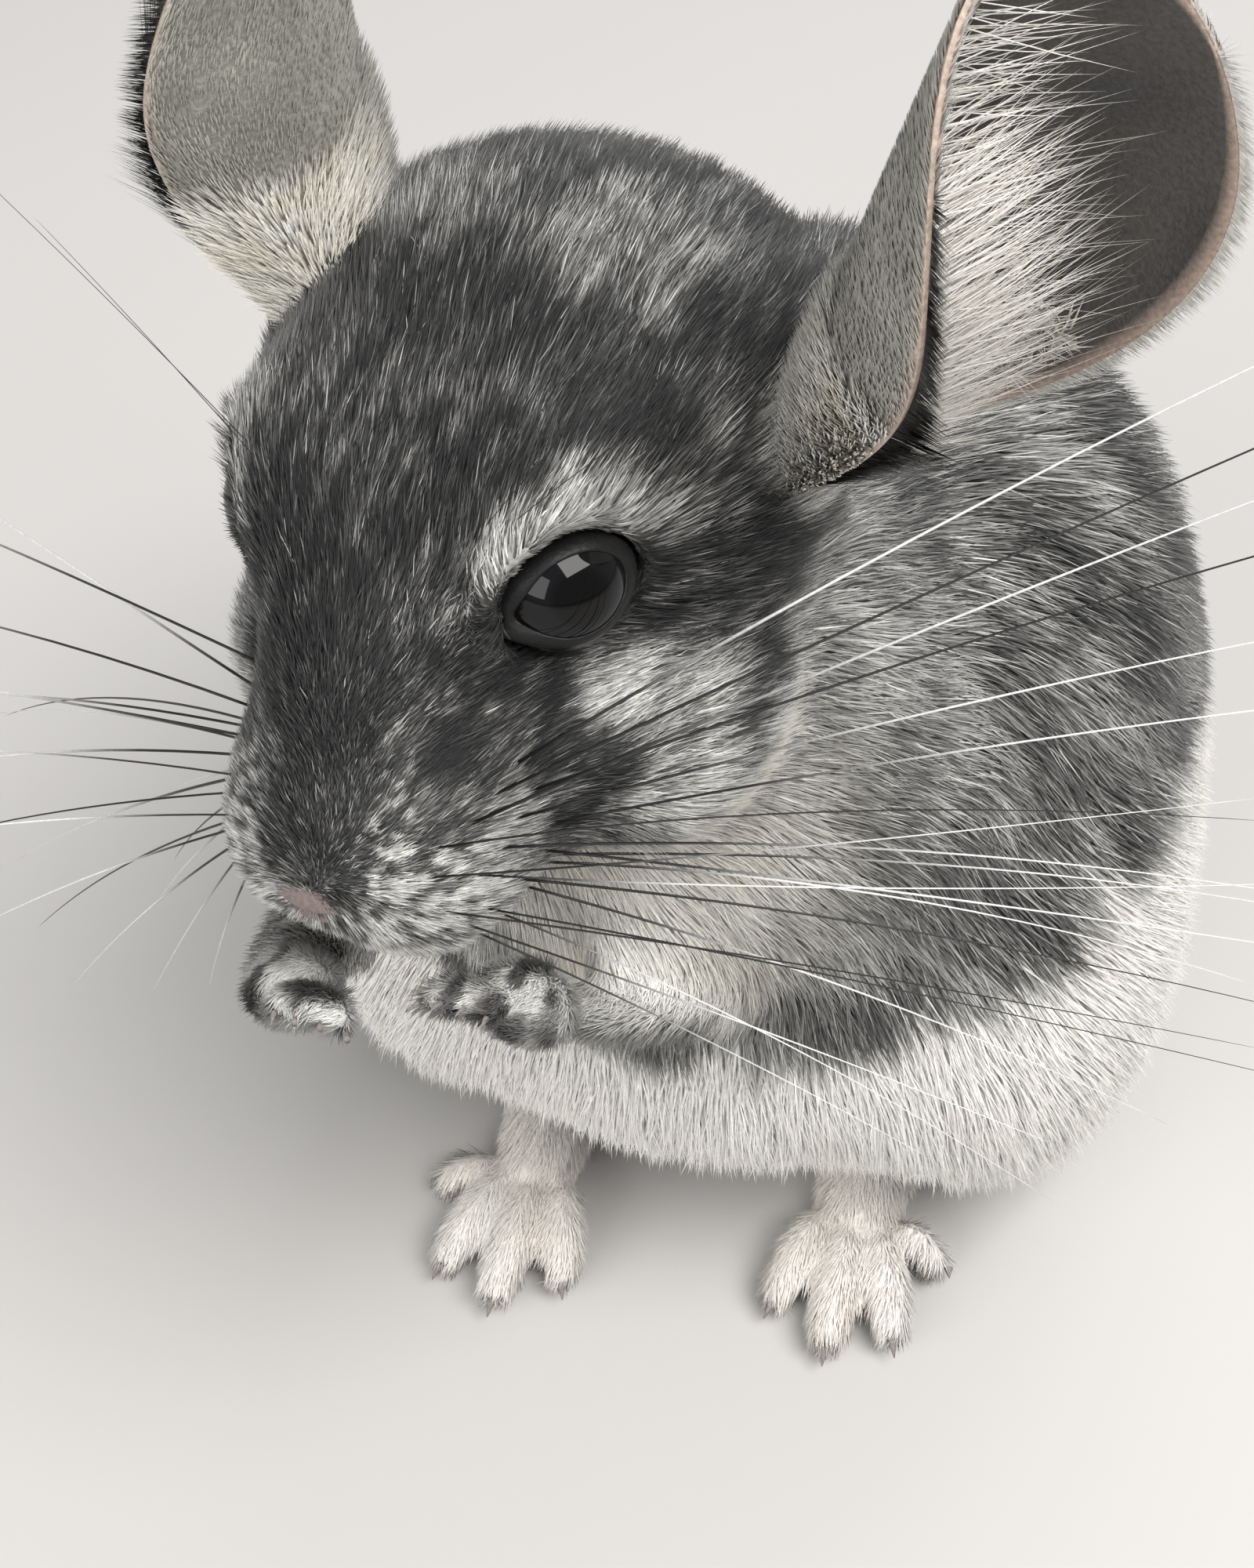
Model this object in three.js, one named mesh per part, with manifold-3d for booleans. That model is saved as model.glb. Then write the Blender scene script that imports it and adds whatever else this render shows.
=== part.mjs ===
// A life-size grey chinchilla that sits up on its hind feet and holds both front paws to its mouth.
// Millimetres, +Z up. The animal faces -Y and its left side is +X. Every outline runs out to the tips of
// the fur. The body is shaped whole and then parted with thin cuts, so that each named part is one solid.
import * as THREE from "three";
import { mergeVertices } from "three/addons/utils/BufferGeometryUtils.js";
import Module from "manifold-3d";

const wasm = await Module();
wasm.setup();

const GAP = 0.3; // left between parts that touch

// Trunk: round masses and the two haunches, blended into one egg that sits on its wide end
const RUMP = { at: [0, 16, 44], radii: [54, 50, 46] };
const BACK = { at: [0, 0, 70], radii: [49, 46, 44] };
const BELLY = { at: [-1, -27, 44], radii: [45, 36, 34] };
const CHEST = { at: [-8, -38, 77], radii: [37, 32, 30] };
const HAUNCH = { at: [34, -14, 34], radii: [22, 38, 32] };
const TRUNK_MIDDLE = [0, -4, 58];
const TRUNK_BLEND = 12;
const TRUNK_DETAIL = 7;

// Neck: a short thick collar from the shoulders to the back of the skull
const NECK = { at: [-14, -42, 101], radii: [33, 33, 27] };
const NECK_CUT = { at: [-8, -24, 94], facing: [-0.22, -0.6, 0.77] };

// Head: its own frame has the nose towards -Y, the crown up and the middle between the eyes
const HEAD_AT = [-19.5, -60.5, 121];
const HEAD_YAW = -13; // degrees, to the animal's right
const HEAD_PITCH = 22; // degrees, nose down
const HEAD_ROLL = -5; // degrees, crown to its right
const CRANIUM = { at: [0, 17, 0], radii: [31, 27, 21] };
const FOREHEAD = { at: [0, -4, 4], radii: [14, 24, 14.5] };
const FACE = { at: [0, -12, -7], radii: [15.5, 21, 11] };
const CHEEK = { at: [18.5, -4, -15.5], radii: [12, 16, 11] };
const BROW = { at: [11.6, -2.5, 14.1], radii: [8, 12, 5.5] };
const MUZZLE = { at: [0, -24, -7], radii: [12.3, 14, 10.5] };
const WHISKER_PAD = { at: [7.5, -27, -11], radii: [7.3, 10, 7.5] };
const CHIN = { at: [0, -19, -17], radii: [8, 12, 6] };
const HEAD_BLEND = 7;
const HEAD_MIDDLE = [0, 0, -3];
const HEAD_DETAIL = 7;
const MUZZLE_CUT = -17; // where the muzzle is parted from the head, along the head's own Y

// Eyes: large globes at the sides of the head, set in so that about a third shows
const EYE_RADIUS = 6.6;
const EYE_AT = [14, -5.2, 7.7];

// Ears: deep scoops that open sideways, each a thin sheet that is wider behind than in front
const EAR_LENGTH = 66;
const EAR_THICK = 1.2;
const EAR_FRONT = { radius: 14, wrap: 92 }; // mm and degrees
const EAR_REAR = { radius: 18, wrap: 104 };
const EAR_ROOT = [21, 19, -7];
const EAR_LEAN = { left: 24, right: -6 }; // degrees outwards
const EAR_BACK = 10; // degrees
const EAR_TURN = { left: -20, right: -16 }; // degrees, how far each opening is turned to the front

// Whiskers: the longest ones only, from the sides of the muzzle outwards and back
const WHISKER_ROOT = [13, -27, -9];
const WHISKER_RADIUS = 0.3;
const WHISKER_CLEAR = 0.8;
const WHISKERS = [
  { rise: 32, back: 22, length: 90 }, // degrees, degrees and mm
  { rise: 16, back: 12, length: 96 },
  { rise: -2, back: 16, length: 93 },
  { rise: -16, back: 12, length: 90 },
  { rise: -30, back: 8, length: 72 },
];
const WHISKER_TILT = { left: 4, right: -32 }; // degrees, how far each side is raised
const WHISKER_SWEEP = { left: 0, right: -22 }; // degrees, how far each side is swept back
const WHISKER_DROOP = 16; // how far a tip hangs below the straight line

// Hind feet
const SOLE = 0; // height of the floor
const FEET = { left: [21.5, -49], right: [-20.5, -53] }; // the ball of each foot, seen from above
const FOOT_HEEL = [1, 42, 5.2]; // from there
const BALL_HEIGHT = 4.2;
const FOOT_RADIUS = [7.5, 6];
const TOE_RADIUS = 3;
const TOES = [
  { name: "inner", side: -7, reach: 14, lift: 2.9, size: 1 },
  { name: "middle", side: -1, reach: 19, lift: 3.1, size: 1.08 },
  { name: "outer", side: 5.5, reach: 16, lift: 2.9, size: 1 },
  { name: "small", side: 9.5, reach: 4, lift: 2.5, size: 0.75 },
];
const FOOT_TURN = 4; // degrees, toes outwards

// Front legs and paws: shoulder, elbow and wrist of each, as the two sides reach differently
const ARMS = {
  left: { elbow: [8, -50, 66], bend: [3, -66, 70], wrist: [-6, -80, 79], paw: [-12, -86, 86] },
  right: { elbow: [-34, -54, 68], bend: [-36, -72, 72], wrist: [-34, -85, 81], paw: [-28, -92, 88] },
};
const ARM_RADII = [9, 7.5, 5.4, 4.6];
const FINGER_RADIUS = 1.7;

// Claws
const HIND_CLAW = { length: 2.3, radius: 0.8 };
const FORE_CLAW = { length: 1.8, radius: 0.6 };
const CLAW_HOOK = 0.3; // share of its length that a tip bends down

// Tail: laid on the floor behind, curving to the animal's right
const TAIL_PATH = [
  [0, 55, 26],
  [-3, 82, 15],
  [-20, 104, 13],
  [-48, 113, 12.5],
  [-76, 104, 11],
];
const TAIL_RADII = [10, 13, 15, 13.5, 7];

const fur = (name, colour) =>
  new THREE.MeshStandardMaterial({ name, color: colour, roughness: 0.9, metalness: 0 });
const greyFur = fur("grey_fur", "#5d5f5e");
const paleFur = fur("pale_fur", "#e8e2d9");
const horn = new THREE.MeshStandardMaterial({ name: "claw", color: "#8d8780", roughness: 0.5, metalness: 0 });

const radians = THREE.MathUtils.degToRad;
const vector = (list) => new THREE.Vector3(...list);
const mirrored = ([x, y, z], side) => [x * side, y, z];

// Distance to an ellipsoid, good enough near its surface
function ellipsoid({ at, radii }, side = 1) {
  const middle = vector(mirrored(at, side));
  return (p) => {
    const q = p.clone().sub(middle);
    const near = Math.hypot(q.x / radii[0], q.y / radii[1], q.z / radii[2]);
    const steep = Math.hypot(q.x / radii[0] ** 2, q.y / radii[1] ** 2, q.z / radii[2] ** 2);
    return steep > 0 ? (near * (near - 1)) / steep : -Math.min(...radii);
  };
}

// Two or more shapes melted together over a width of blend
function melted(shapes, blend) {
  return (p) =>
    shapes
      .map((shape) => shape(p))
      .reduce((a, b) => {
        const share = Math.max(blend - Math.abs(a - b), 0) / blend;
        return Math.min(a, b) - (share * share * blend) / 4;
      });
}

// How far the surface lies from a point inside it, in one direction
function reach(shape, from, direction, furthest = 160) {
  const at = (distance) => shape(from.clone().addScaledVector(direction, distance));
  let outside = furthest;
  const step = 2;
  while (outside > step && at(outside - step) > 0) outside -= step;
  let inside = outside - step;
  for (let halving = 0; halving < 24; halving++) {
    const middle = (inside + outside) / 2;
    if (at(middle) > 0) outside = middle;
    else inside = middle;
  }
  return inside;
}

// A geodesic ball whose points are moved along their own rays on to a shape's surface
function wrapped(shape, middle, detail, grow = 0) {
  const ball = new THREE.IcosahedronGeometry(1, detail);
  const centre = vector(middle);
  const place = ball.getAttribute("position");
  const known = new Map();
  for (let i = 0; i < place.count; i++) {
    const direction = new THREE.Vector3().fromBufferAttribute(place, i).normalize();
    const key = direction.toArray().map((x) => x.toFixed(5)).join();
    if (!known.has(key)) {
      const point = centre.clone().addScaledVector(direction, reach(shape, centre, direction) + grow);
      known.set(key, point);
    }
    place.setXYZ(i, ...known.get(key).toArray());
  }
  return ball;
}

// A value between evenly spaced ones, eased
function between(list, share) {
  const at = THREE.MathUtils.clamp(share, 0, 1) * (list.length - 1);
  const low = Math.min(Math.floor(at), list.length - 2);
  return THREE.MathUtils.lerp(list[low], list[low + 1], THREE.MathUtils.smoothstep(at - low, 0, 1));
}

// A round limb: a lathed spindle bent along a smooth curve, with round ends
function limb(path, radii, { sides = 14, steps = 12, flat = 1, grow = 0, ends = 1 } = {}) {
  const curve = new THREE.CatmullRomCurve3(path.map(vector));
  const length = curve.getLength();
  const overall = vector(path[path.length - 1]).sub(vector(path[0])).normalize();
  const upright = Math.abs(overall.z) > 0.7 ? new THREE.Vector3(0, 1, 0) : new THREE.Vector3(0, 0, 1);
  const profile = [];
  for (let i = 0; i <= steps; i++) {
    const share = (1 - Math.cos((Math.PI * i) / steps)) / 2;
    const radius = between(radii, share);
    const cap = Math.min(1, Math.min(share * length, (1 - share) * length) / (radius * ends));
    profile.push(new THREE.Vector2(radius * Math.sqrt(1 - (1 - cap) ** 2), share));
  }
  const spindle = new THREE.LatheGeometry(profile, sides);
  const place = spindle.getAttribute("position");
  for (let i = 0; i < place.count; i++) {
    const share = THREE.MathUtils.clamp(place.getY(i), 0, 1);
    const along = curve.getTangentAt(share);
    const across = new THREE.Vector3().crossVectors(upright, along).normalize();
    const over = new THREE.Vector3().crossVectors(along, across);
    const radius = Math.hypot(place.getX(i), place.getZ(i));
    const scale = radius > 0 ? (radius + grow) / radius : 0;
    const point = curve.getPointAt(share);
    point.addScaledVector(across, place.getX(i) * scale);
    point.addScaledVector(over, place.getZ(i) * scale * flat);
    if (share < 1e-6) point.addScaledVector(along, -grow);
    if (share > 1 - 1e-6) point.addScaledVector(along, grow);
    place.setXYZ(i, ...point.toArray());
  }
  return spindle;
}

// A geometry as a solid that can be joined and cut
function solid(geometry) {
  const bare = geometry.clone();
  bare.deleteAttribute("normal");
  bare.deleteAttribute("uv");
  const merged = mergeVertices(bare, 1e-4);
  const corners = [...merged.index.array];
  const kept = [];
  for (let i = 0; i < corners.length; i += 3) {
    const [a, b, c] = corners.slice(i, i + 3);
    if (a !== b && b !== c && a !== c) kept.push(a, b, c);
  }
  const made = new wasm.Manifold(
    new wasm.Mesh({
      numProp: 3,
      vertProperties: merged.getAttribute("position").array,
      triVerts: new Uint32Array(kept),
    }),
  );
  if (made.volume() > 0) return made;
  for (let i = 0; i < kept.length; i += 3) [kept[i + 1], kept[i + 2]] = [kept[i + 2], kept[i + 1]];
  return new wasm.Manifold(
    new wasm.Mesh({
      numProp: 3,
      vertProperties: merged.getAttribute("position").array,
      triVerts: new Uint32Array(kept),
    }),
  );
}

// The largest piece of a solid, without the crumbs that a cut leaves
const largest = (made) => made.decompose().reduce((a, b) => (a.volume() > b.volume() ? a : b));

const joined = (list) => list.reduce((a, b) => a.add(b));

function node(name, made, material) {
  const data = largest(made).getMesh();
  const geometry = new THREE.BufferGeometry();
  geometry.setAttribute("position", new THREE.BufferAttribute(data.vertProperties, 3));
  geometry.setIndex(new THREE.BufferAttribute(data.triVerts, 1));
  geometry.computeVertexNormals();
  const mesh = new THREE.Mesh(geometry, material);
  mesh.name = name;
  return mesh;
}

// A large box whose near face lies on a plane, so that it holds all that the plane faces
function halfSpace(at, facing, offset = 0) {
  const size = 600;
  const box = new THREE.BoxGeometry(size, size, size);
  box.translate(0, 0, size / 2 + offset);
  const turn = new THREE.Quaternion().setFromUnitVectors(
    new THREE.Vector3(0, 0, 1),
    vector(facing).normalize(),
  );
  box.applyQuaternion(turn);
  box.translate(...at);
  return solid(box);
}

const belowFloor = halfSpace([0, 0, SOLE], [0, 0, -1]);
const SIDES = [
  ["left", 1],
  ["right", -1],
];

// Head, in its own frame
const headGroup = new THREE.Group();
headGroup.position.set(...HEAD_AT);
headGroup.rotation.order = "ZXY";
headGroup.rotation.z = radians(HEAD_YAW);
headGroup.rotation.x = radians(HEAD_PITCH);
headGroup.rotation.y = radians(HEAD_ROLL);
headGroup.updateMatrixWorld(true);

const headShape = melted(
  [
    ellipsoid(CRANIUM),
    ellipsoid(FOREHEAD),
    ellipsoid(FACE),
    ellipsoid(CHEEK),
    ellipsoid(CHEEK, -1),
    ellipsoid(BROW),
    ellipsoid(BROW, -1),
    ellipsoid(MUZZLE),
    ellipsoid(WHISKER_PAD),
    ellipsoid(WHISKER_PAD, -1),
    ellipsoid(CHIN),
  ],
  HEAD_BLEND,
);

function eyeball(side, grow = 0) {
  const ball = new THREE.SphereGeometry(EYE_RADIUS + grow, 14, 8);
  ball.translate(...mirrored(EYE_AT, side));
  return solid(ball);
}

// A thin sheet wrapped round into a scoop, from a flat box whose square face is rounded into a disc.
// Across it, -1 is the front rim and 1 the rear rim; the middle lies against the head.
function ear(label, side, grow = 0) {
  const across = 9;
  const along = 9;
  const sheet = new THREE.BoxGeometry(2, 2, 1, across, along, 1);
  const place = sheet.getAttribute("position");
  for (let i = 0; i < place.count; i++) {
    const [x, y, face] = [place.getX(i), place.getY(i), place.getZ(i)];
    const wide = x * Math.sqrt(1 - (y * y) / 2);
    const high = (y * Math.sqrt(1 - (x * x) / 2) + 1) / 2;
    const rearward = THREE.MathUtils.smoothstep(wide, -0.5, 0.5);
    const width = 0.5 + 0.5 * THREE.MathUtils.smoothstep(high, 0, 0.75);
    const radius = THREE.MathUtils.lerp(EAR_FRONT.radius, EAR_REAR.radius, rearward) * width;
    const wrap = THREE.MathUtils.lerp(EAR_FRONT.wrap, EAR_REAR.wrap, rearward) * (1.15 - 0.25 * high);
    const angle = radians(wrap) * wide;
    const off = radius + face * (EAR_THICK + 2 * grow);
    place.setXYZ(i, radius - off * Math.cos(angle), off * Math.sin(angle), high * EAR_LENGTH);
  }
  const turn = new THREE.Matrix4()
    .makeRotationY(radians(EAR_LEAN[label]))
    .multiply(new THREE.Matrix4().makeRotationX(radians(-EAR_BACK)))
    .multiply(new THREE.Matrix4().makeRotationZ(radians(EAR_TURN[label])));
  sheet.applyMatrix4(turn);
  sheet.translate(...EAR_ROOT);
  if (side < 0) sheet.scale(-1, 1, 1);
  return solid(sheet);
}

// One whisker: a long thin taper that starts just clear of the head and hangs a little at its tip
function whisker(label, side, { rise, back, length }, order) {
  const [up, rear] = [rise + WHISKER_TILT[label], back + WHISKER_SWEEP[label]].map(radians);
  const way = new THREE.Vector3(Math.cos(up) * Math.cos(rear) * side, Math.cos(up) * Math.sin(rear), Math.sin(up));
  const root = vector(mirrored(WHISKER_ROOT, side)).add(new THREE.Vector3(0, order * 1.2, -order * 0.9));
  const inside = vector(mirrored([0, WHISKER_ROOT[1], WHISKER_ROOT[2]], side));
  const clear = reach(headShape, inside, root.clone().sub(inside).normalize()) + WHISKER_CLEAR;
  root.copy(inside.clone().addScaledVector(root.clone().sub(inside).normalize(), clear));
  const path = [0, 0.35, 0.7, 1].map((share) => {
    const point = root.clone().addScaledVector(way, share * length);
    point.z -= WHISKER_DROOP * share * share;
    return point.toArray();
  });
  return solid(limb(path, [WHISKER_RADIUS, WHISKER_RADIUS], { sides: 4, steps: 6 }));
}

const skull = solid(wrapped(headShape, HEAD_MIDDLE, HEAD_DETAIL));
const skullGrown = solid(wrapped(headShape, HEAD_MIDDLE, HEAD_DETAIL, GAP));
const sockets = joined(SIDES.map(([, side]) => eyeball(side, GAP)));
const faceAhead = halfSpace([0, MUZZLE_CUT, 0], [0, -1, 0], -GAP / 2);
const faceBehind = halfSpace([0, MUZZLE_CUT, 0], [0, 1, 0], -GAP / 2);
headGroup.add(node("head", skull.subtract(sockets).subtract(faceAhead), greyFur));
headGroup.add(node("muzzle", skull.subtract(sockets).subtract(faceBehind), greyFur));
for (const [label, side] of SIDES) {
  headGroup.add(node(`eye_${label}`, eyeball(side), fur("eye", "#0b0b0d")));
  headGroup.add(node(`ear_${label}`, ear(label, side).subtract(skullGrown), fur("ear", "#6d6861")));
  WHISKERS.forEach((form, order) => {
    const hair = whisker(label, side, form, order);
    headGroup.add(node(`whisker_${label}_${order + 1}`, hair, fur("whisker", "#d9d6d0")));
  });
}

// Trunk, neck and haunches
const trunkShape = melted(
  [
    ellipsoid(RUMP),
    ellipsoid(BACK),
    ellipsoid(BELLY),
    ellipsoid(CHEST),
    ellipsoid(HAUNCH),
    ellipsoid(HAUNCH, -1),
    ellipsoid(NECK),
  ],
  TRUNK_BLEND,
);
const headInBody = skullGrown.transform(headGroup.matrixWorld.elements);
const trunkWhole = solid(wrapped(trunkShape, TRUNK_MIDDLE, TRUNK_DETAIL)).subtract(belowFloor);
const earsInBody = joined(SIDES.map(([label, side]) => ear(label, side, GAP))).transform(headGroup.matrixWorld.elements);
const aboveNeck = halfSpace(NECK_CUT.at, NECK_CUT.facing, -GAP / 2);
const belowNeck = halfSpace(NECK_CUT.at, NECK_CUT.facing.map((x) => -x), -GAP / 2);

const haunchRegion = (side, grow) => {
  const region = new THREE.SphereGeometry(1, 16, 8);
  region.scale(...HAUNCH.radii.map((r) => r + 3 + grow));
  region.translate(...mirrored([HAUNCH.at[0] + 4, HAUNCH.at[1], HAUNCH.at[2]], side));
  return solid(region);
};

const body = new THREE.Group();
const haunches = joined(SIDES.map(([, side]) => haunchRegion(side, GAP)));
body.add(
  node("trunk", trunkWhole.subtract(aboveNeck).subtract(haunches).subtract(headInBody), greyFur),
  node("neck", trunkWhole.subtract(belowNeck).subtract(headInBody).subtract(earsInBody), greyFur),
  headGroup,
);
for (const [label, side] of SIDES) {
  body.add(node(`haunch_${label}`, trunkWhole.intersect(haunchRegion(side, 0)), greyFur));
}
const trunkGrown = solid(wrapped(trunkShape, TRUNK_MIDDLE, TRUNK_DETAIL, GAP));

// Claws: short bent spikes that start just ahead of a toe's tip
function claw(from, way, length, radius) {
  const middle = from.clone().addScaledVector(way, length / 2);
  const tip = from.clone().addScaledVector(way, length);
  tip.z -= length * CLAW_HOOK;
  return solid(limb([from, middle, tip].map((p) => p.toArray()), [radius, radius * 0.6], { sides: 4, steps: 3 }));
}

// Hind feet
function hindToes(label, side) {
  const [x, y] = FEET[label];
  const turn = radians(FOOT_TURN) * side;
  return TOES.map((toe) => {
    const from = new THREE.Vector3(x + toe.side * 0.5 * side, y + 4, BALL_HEIGHT);
    const forward = new THREE.Vector3(toe.side * 0.75 * side, -toe.reach, 0);
    forward.applyAxisAngle(new THREE.Vector3(0, 0, 1), turn);
    const tip = from.clone().add(forward).setZ(toe.lift * 0.85);
    const knuckle = from.clone().lerp(tip, 0.5).setZ(toe.lift + 2.2);
    return { name: toe.name, from, knuckle, tip, way: forward.normalize(), radius: TOE_RADIUS * toe.size };
  });
}

function hindFoot(label, side) {
  const ball = [...FEET[label], BALL_HEIGHT];
  const heel = [ball[0] + FOOT_HEEL[0] * side, ball[1] + FOOT_HEEL[1], FOOT_HEEL[2]];
  const sole = solid(limb([heel, ball], FOOT_RADIUS, { sides: 8, steps: 6, flat: 0.8 }));
  const toes = hindToes(label, side).map(({ from, knuckle, tip, radius }) =>
    solid(
      limb([from, knuckle, tip].map((p) => p.toArray()), [radius * 0.9, radius, radius * 0.9], {
        sides: 7,
        steps: 6,
      }),
    ),
  );
  return joined([sole, ...toes]).subtract(belowFloor);
}

for (const [label, side] of SIDES) {
  const foot = hindFoot(label, side).subtract(trunkGrown);
  body.add(node(`hind_foot_${label}`, foot, paleFur));
  for (const { name, tip, way, radius } of hindToes(label, side)) {
    const from = tip.clone().addScaledVector(way, GAP);
    const nail = claw(from, way, HIND_CLAW.length * (radius / TOE_RADIUS), HIND_CLAW.radius);
    body.add(node(`claw_hind_${label}_${name}`, nail, horn));
  }
}

// Front legs and paws
for (const [label, side] of SIDES) {
  const { elbow, bend, wrist, paw } = ARMS[label];
  const armPath = [elbow, bend, wrist];
  const arm = solid(limb(armPath, ARM_RADII, { sides: 8, steps: 8 }));
  const armGrown = solid(limb(armPath, ARM_RADII, { sides: 8, steps: 8, grow: GAP }));
  const fingers = [-3, -1, 1, 3].map((step) => ({
    root: [paw[0] + step * 0.6, paw[1] + 1, paw[2]],
    tip: [paw[0] + step * 1.1 - side * 2, paw[1] - 4, paw[2] + 3 - Math.abs(step) * 0.4],
  }));
  const hand = joined([
    solid(limb([wrist, paw], [4.8, 4.6], { sides: 8, steps: 6, flat: 0.85 })),
    ...fingers.map(({ root, tip }) =>
      solid(limb([root, tip], [FINGER_RADIUS, FINGER_RADIUS], { sides: 6, steps: 5 })),
    ),
  ]);
  const clear = (made) => made.subtract(trunkGrown).subtract(headInBody);
  body.add(node(`fore_leg_${label}`, clear(arm), paleFur));
  body.add(node(`paw_${label}`, clear(hand.subtract(armGrown)), paleFur));
  fingers.forEach(({ root, tip }, order) => {
    const way = vector(tip).sub(vector(root)).normalize();
    const from = vector(tip).addScaledVector(way, GAP);
    const nail = claw(from, way, FORE_CLAW.length, FORE_CLAW.radius);
    body.add(node(`claw_fore_${label}_${order + 1}`, nail, horn));
  });
}

// Tail
const tail = solid(limb(TAIL_PATH, TAIL_RADII, { sides: 12, steps: 12, flat: 0.9 }))
  .subtract(belowFloor)
  .subtract(trunkGrown);
body.add(node("tail", tail, greyFur));

const box = new THREE.Box3().setFromObject(body, true);
const floorPoint = new THREE.Vector3((box.min.x + box.max.x) / 2, (box.min.y + box.max.y) / 2, SOLE);
body.position.sub(floorPoint);

export default body;
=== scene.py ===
"""A standard chinchilla sitting up with its forepaws at its mouth: skin, eyes, lids, coat and whiskers."""

import logging
import math
from dataclasses import dataclass, field
from enum import Enum
from itertools import product
from typing import Callable

import bpy
import numpy as np
from mathutils import Matrix, Vector
from mathutils.bvhtree import BVHTree
from mathutils.kdtree import KDTree


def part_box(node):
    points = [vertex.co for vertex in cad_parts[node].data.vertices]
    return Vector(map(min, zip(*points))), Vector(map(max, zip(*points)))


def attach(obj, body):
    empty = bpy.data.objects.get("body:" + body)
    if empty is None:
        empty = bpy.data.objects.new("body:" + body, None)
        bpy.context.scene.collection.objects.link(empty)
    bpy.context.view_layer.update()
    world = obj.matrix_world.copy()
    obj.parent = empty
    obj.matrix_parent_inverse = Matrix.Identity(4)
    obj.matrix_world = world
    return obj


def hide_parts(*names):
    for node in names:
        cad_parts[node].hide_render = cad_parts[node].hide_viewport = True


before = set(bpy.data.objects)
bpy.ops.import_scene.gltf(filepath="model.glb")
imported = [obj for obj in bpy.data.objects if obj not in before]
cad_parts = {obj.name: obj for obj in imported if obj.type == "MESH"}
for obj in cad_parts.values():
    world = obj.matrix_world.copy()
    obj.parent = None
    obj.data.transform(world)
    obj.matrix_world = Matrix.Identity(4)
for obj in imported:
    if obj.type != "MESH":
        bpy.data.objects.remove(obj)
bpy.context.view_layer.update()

logging.basicConfig(level=logging.INFO, format="%(message)s")
LOG = logging.getLogger("chinchilla")

MM = 0.001
SEED = 20
UPWARDS = (0, 0, 1)
LEAN_AT_TIP = 0.4  # share of a tuft's lean that is left at its tip
ROOT_SUNK = 0.15  # mm, how deep a tuft stands in the skin
PATCH_RADIUS = 0.0015  # half of a tuft's patch on the bake map
FLOOR_CLEAR = 0.02  # mm, the lowest that a hair comes to the floor
Array = np.ndarray


class Side(Enum):
    """The animal's own sides; the value is the sign of x."""

    LEFT = 1
    RIGHT = -1

    @property
    def word(self) -> str:
        """The word that names this side in a node."""
        return self.name.lower()


def unit(rows: Array) -> Array:
    """Scales each row to length one.

    Args:
        rows: Vectors, one in each row.

    Returns:
        The same directions with length one.
    """
    rows = np.asarray(rows, float)
    return rows / np.maximum(np.linalg.norm(rows, axis=-1, keepdims=True), 1e-9)


def ramp(value: Array, low: float, high: float) -> Array:
    """Goes smoothly from 0 at low to 1 at high.

    Args:
        value: Numbers to place on the ramp.
        low: Where it starts to rise.
        high: Where it reaches one.

    Returns:
        The ramp's height for each number.
    """
    t = np.clip((np.asarray(value, float) - low) / (high - low), 0, 1)
    return t * t * (3 - 2 * t)


def mix(first: Array, second: Array, share: Array) -> Array:
    """Mixes two colours or vectors row by row.

    Args:
        first: What is there at share 0.
        second: What is there at share 1.
        share: One number for each row.

    Returns:
        The mixed rows.
    """
    share = np.asarray(share, float)[..., None]
    return np.asarray(first, float) * (1 - share) + np.asarray(second, float) * share


def cloudy(points: Array, size: float, seed: int) -> Array:
    """Smooth noise from 0 to 1.

    Args:
        points: Places in mm, one in each row.
        size: Width of a cloud in mm, or three widths.
        seed: Picks one of many like patterns.

    Returns:
        The noise at each place.
    """
    grid = np.asarray(points, float) / np.asarray(size, float)
    cell = np.floor(grid).astype(np.int64)
    part = grid - cell
    part = part * part * (3 - 2 * part)
    total = np.zeros(len(grid))
    for corner in product((0, 1), repeat=3):
        x, y, z = (cell + np.array(corner)).T
        code = (x * 73856093) ^ (y * 19349663) ^ (z * 83492791) ^ (seed * 2654435761)
        code = (code * 1103515245 + 12345) & 0x7FFFFFFF
        code = ((code ^ (code >> 13)) * 69069 + 1) & 0x7FFFFFFF
        share = np.prod(np.where(np.array(corner) == 1, part, 1 - part), axis=1)
        total += share * ((code >> 9) & 0xFFFF) / 65535.0
    return total


def blot(points: Array, centre: tuple, radii: tuple, soft: float = 0.6) -> Array:
    """A soft-edged patch: 1 in its middle, 0 outside.

    Args:
        points: Places in mm.
        centre: Middle of the patch.
        radii: Half widths of the patch.
        soft: Share of the radius where the edge starts to fade.

    Returns:
        The patch's strength at each place.
    """
    away = np.linalg.norm((points - np.array(centre, float)) / np.array(radii, float), axis=1)
    return 1 - ramp(away, soft, 1.0 + (1 - soft) * 0.5)


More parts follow.
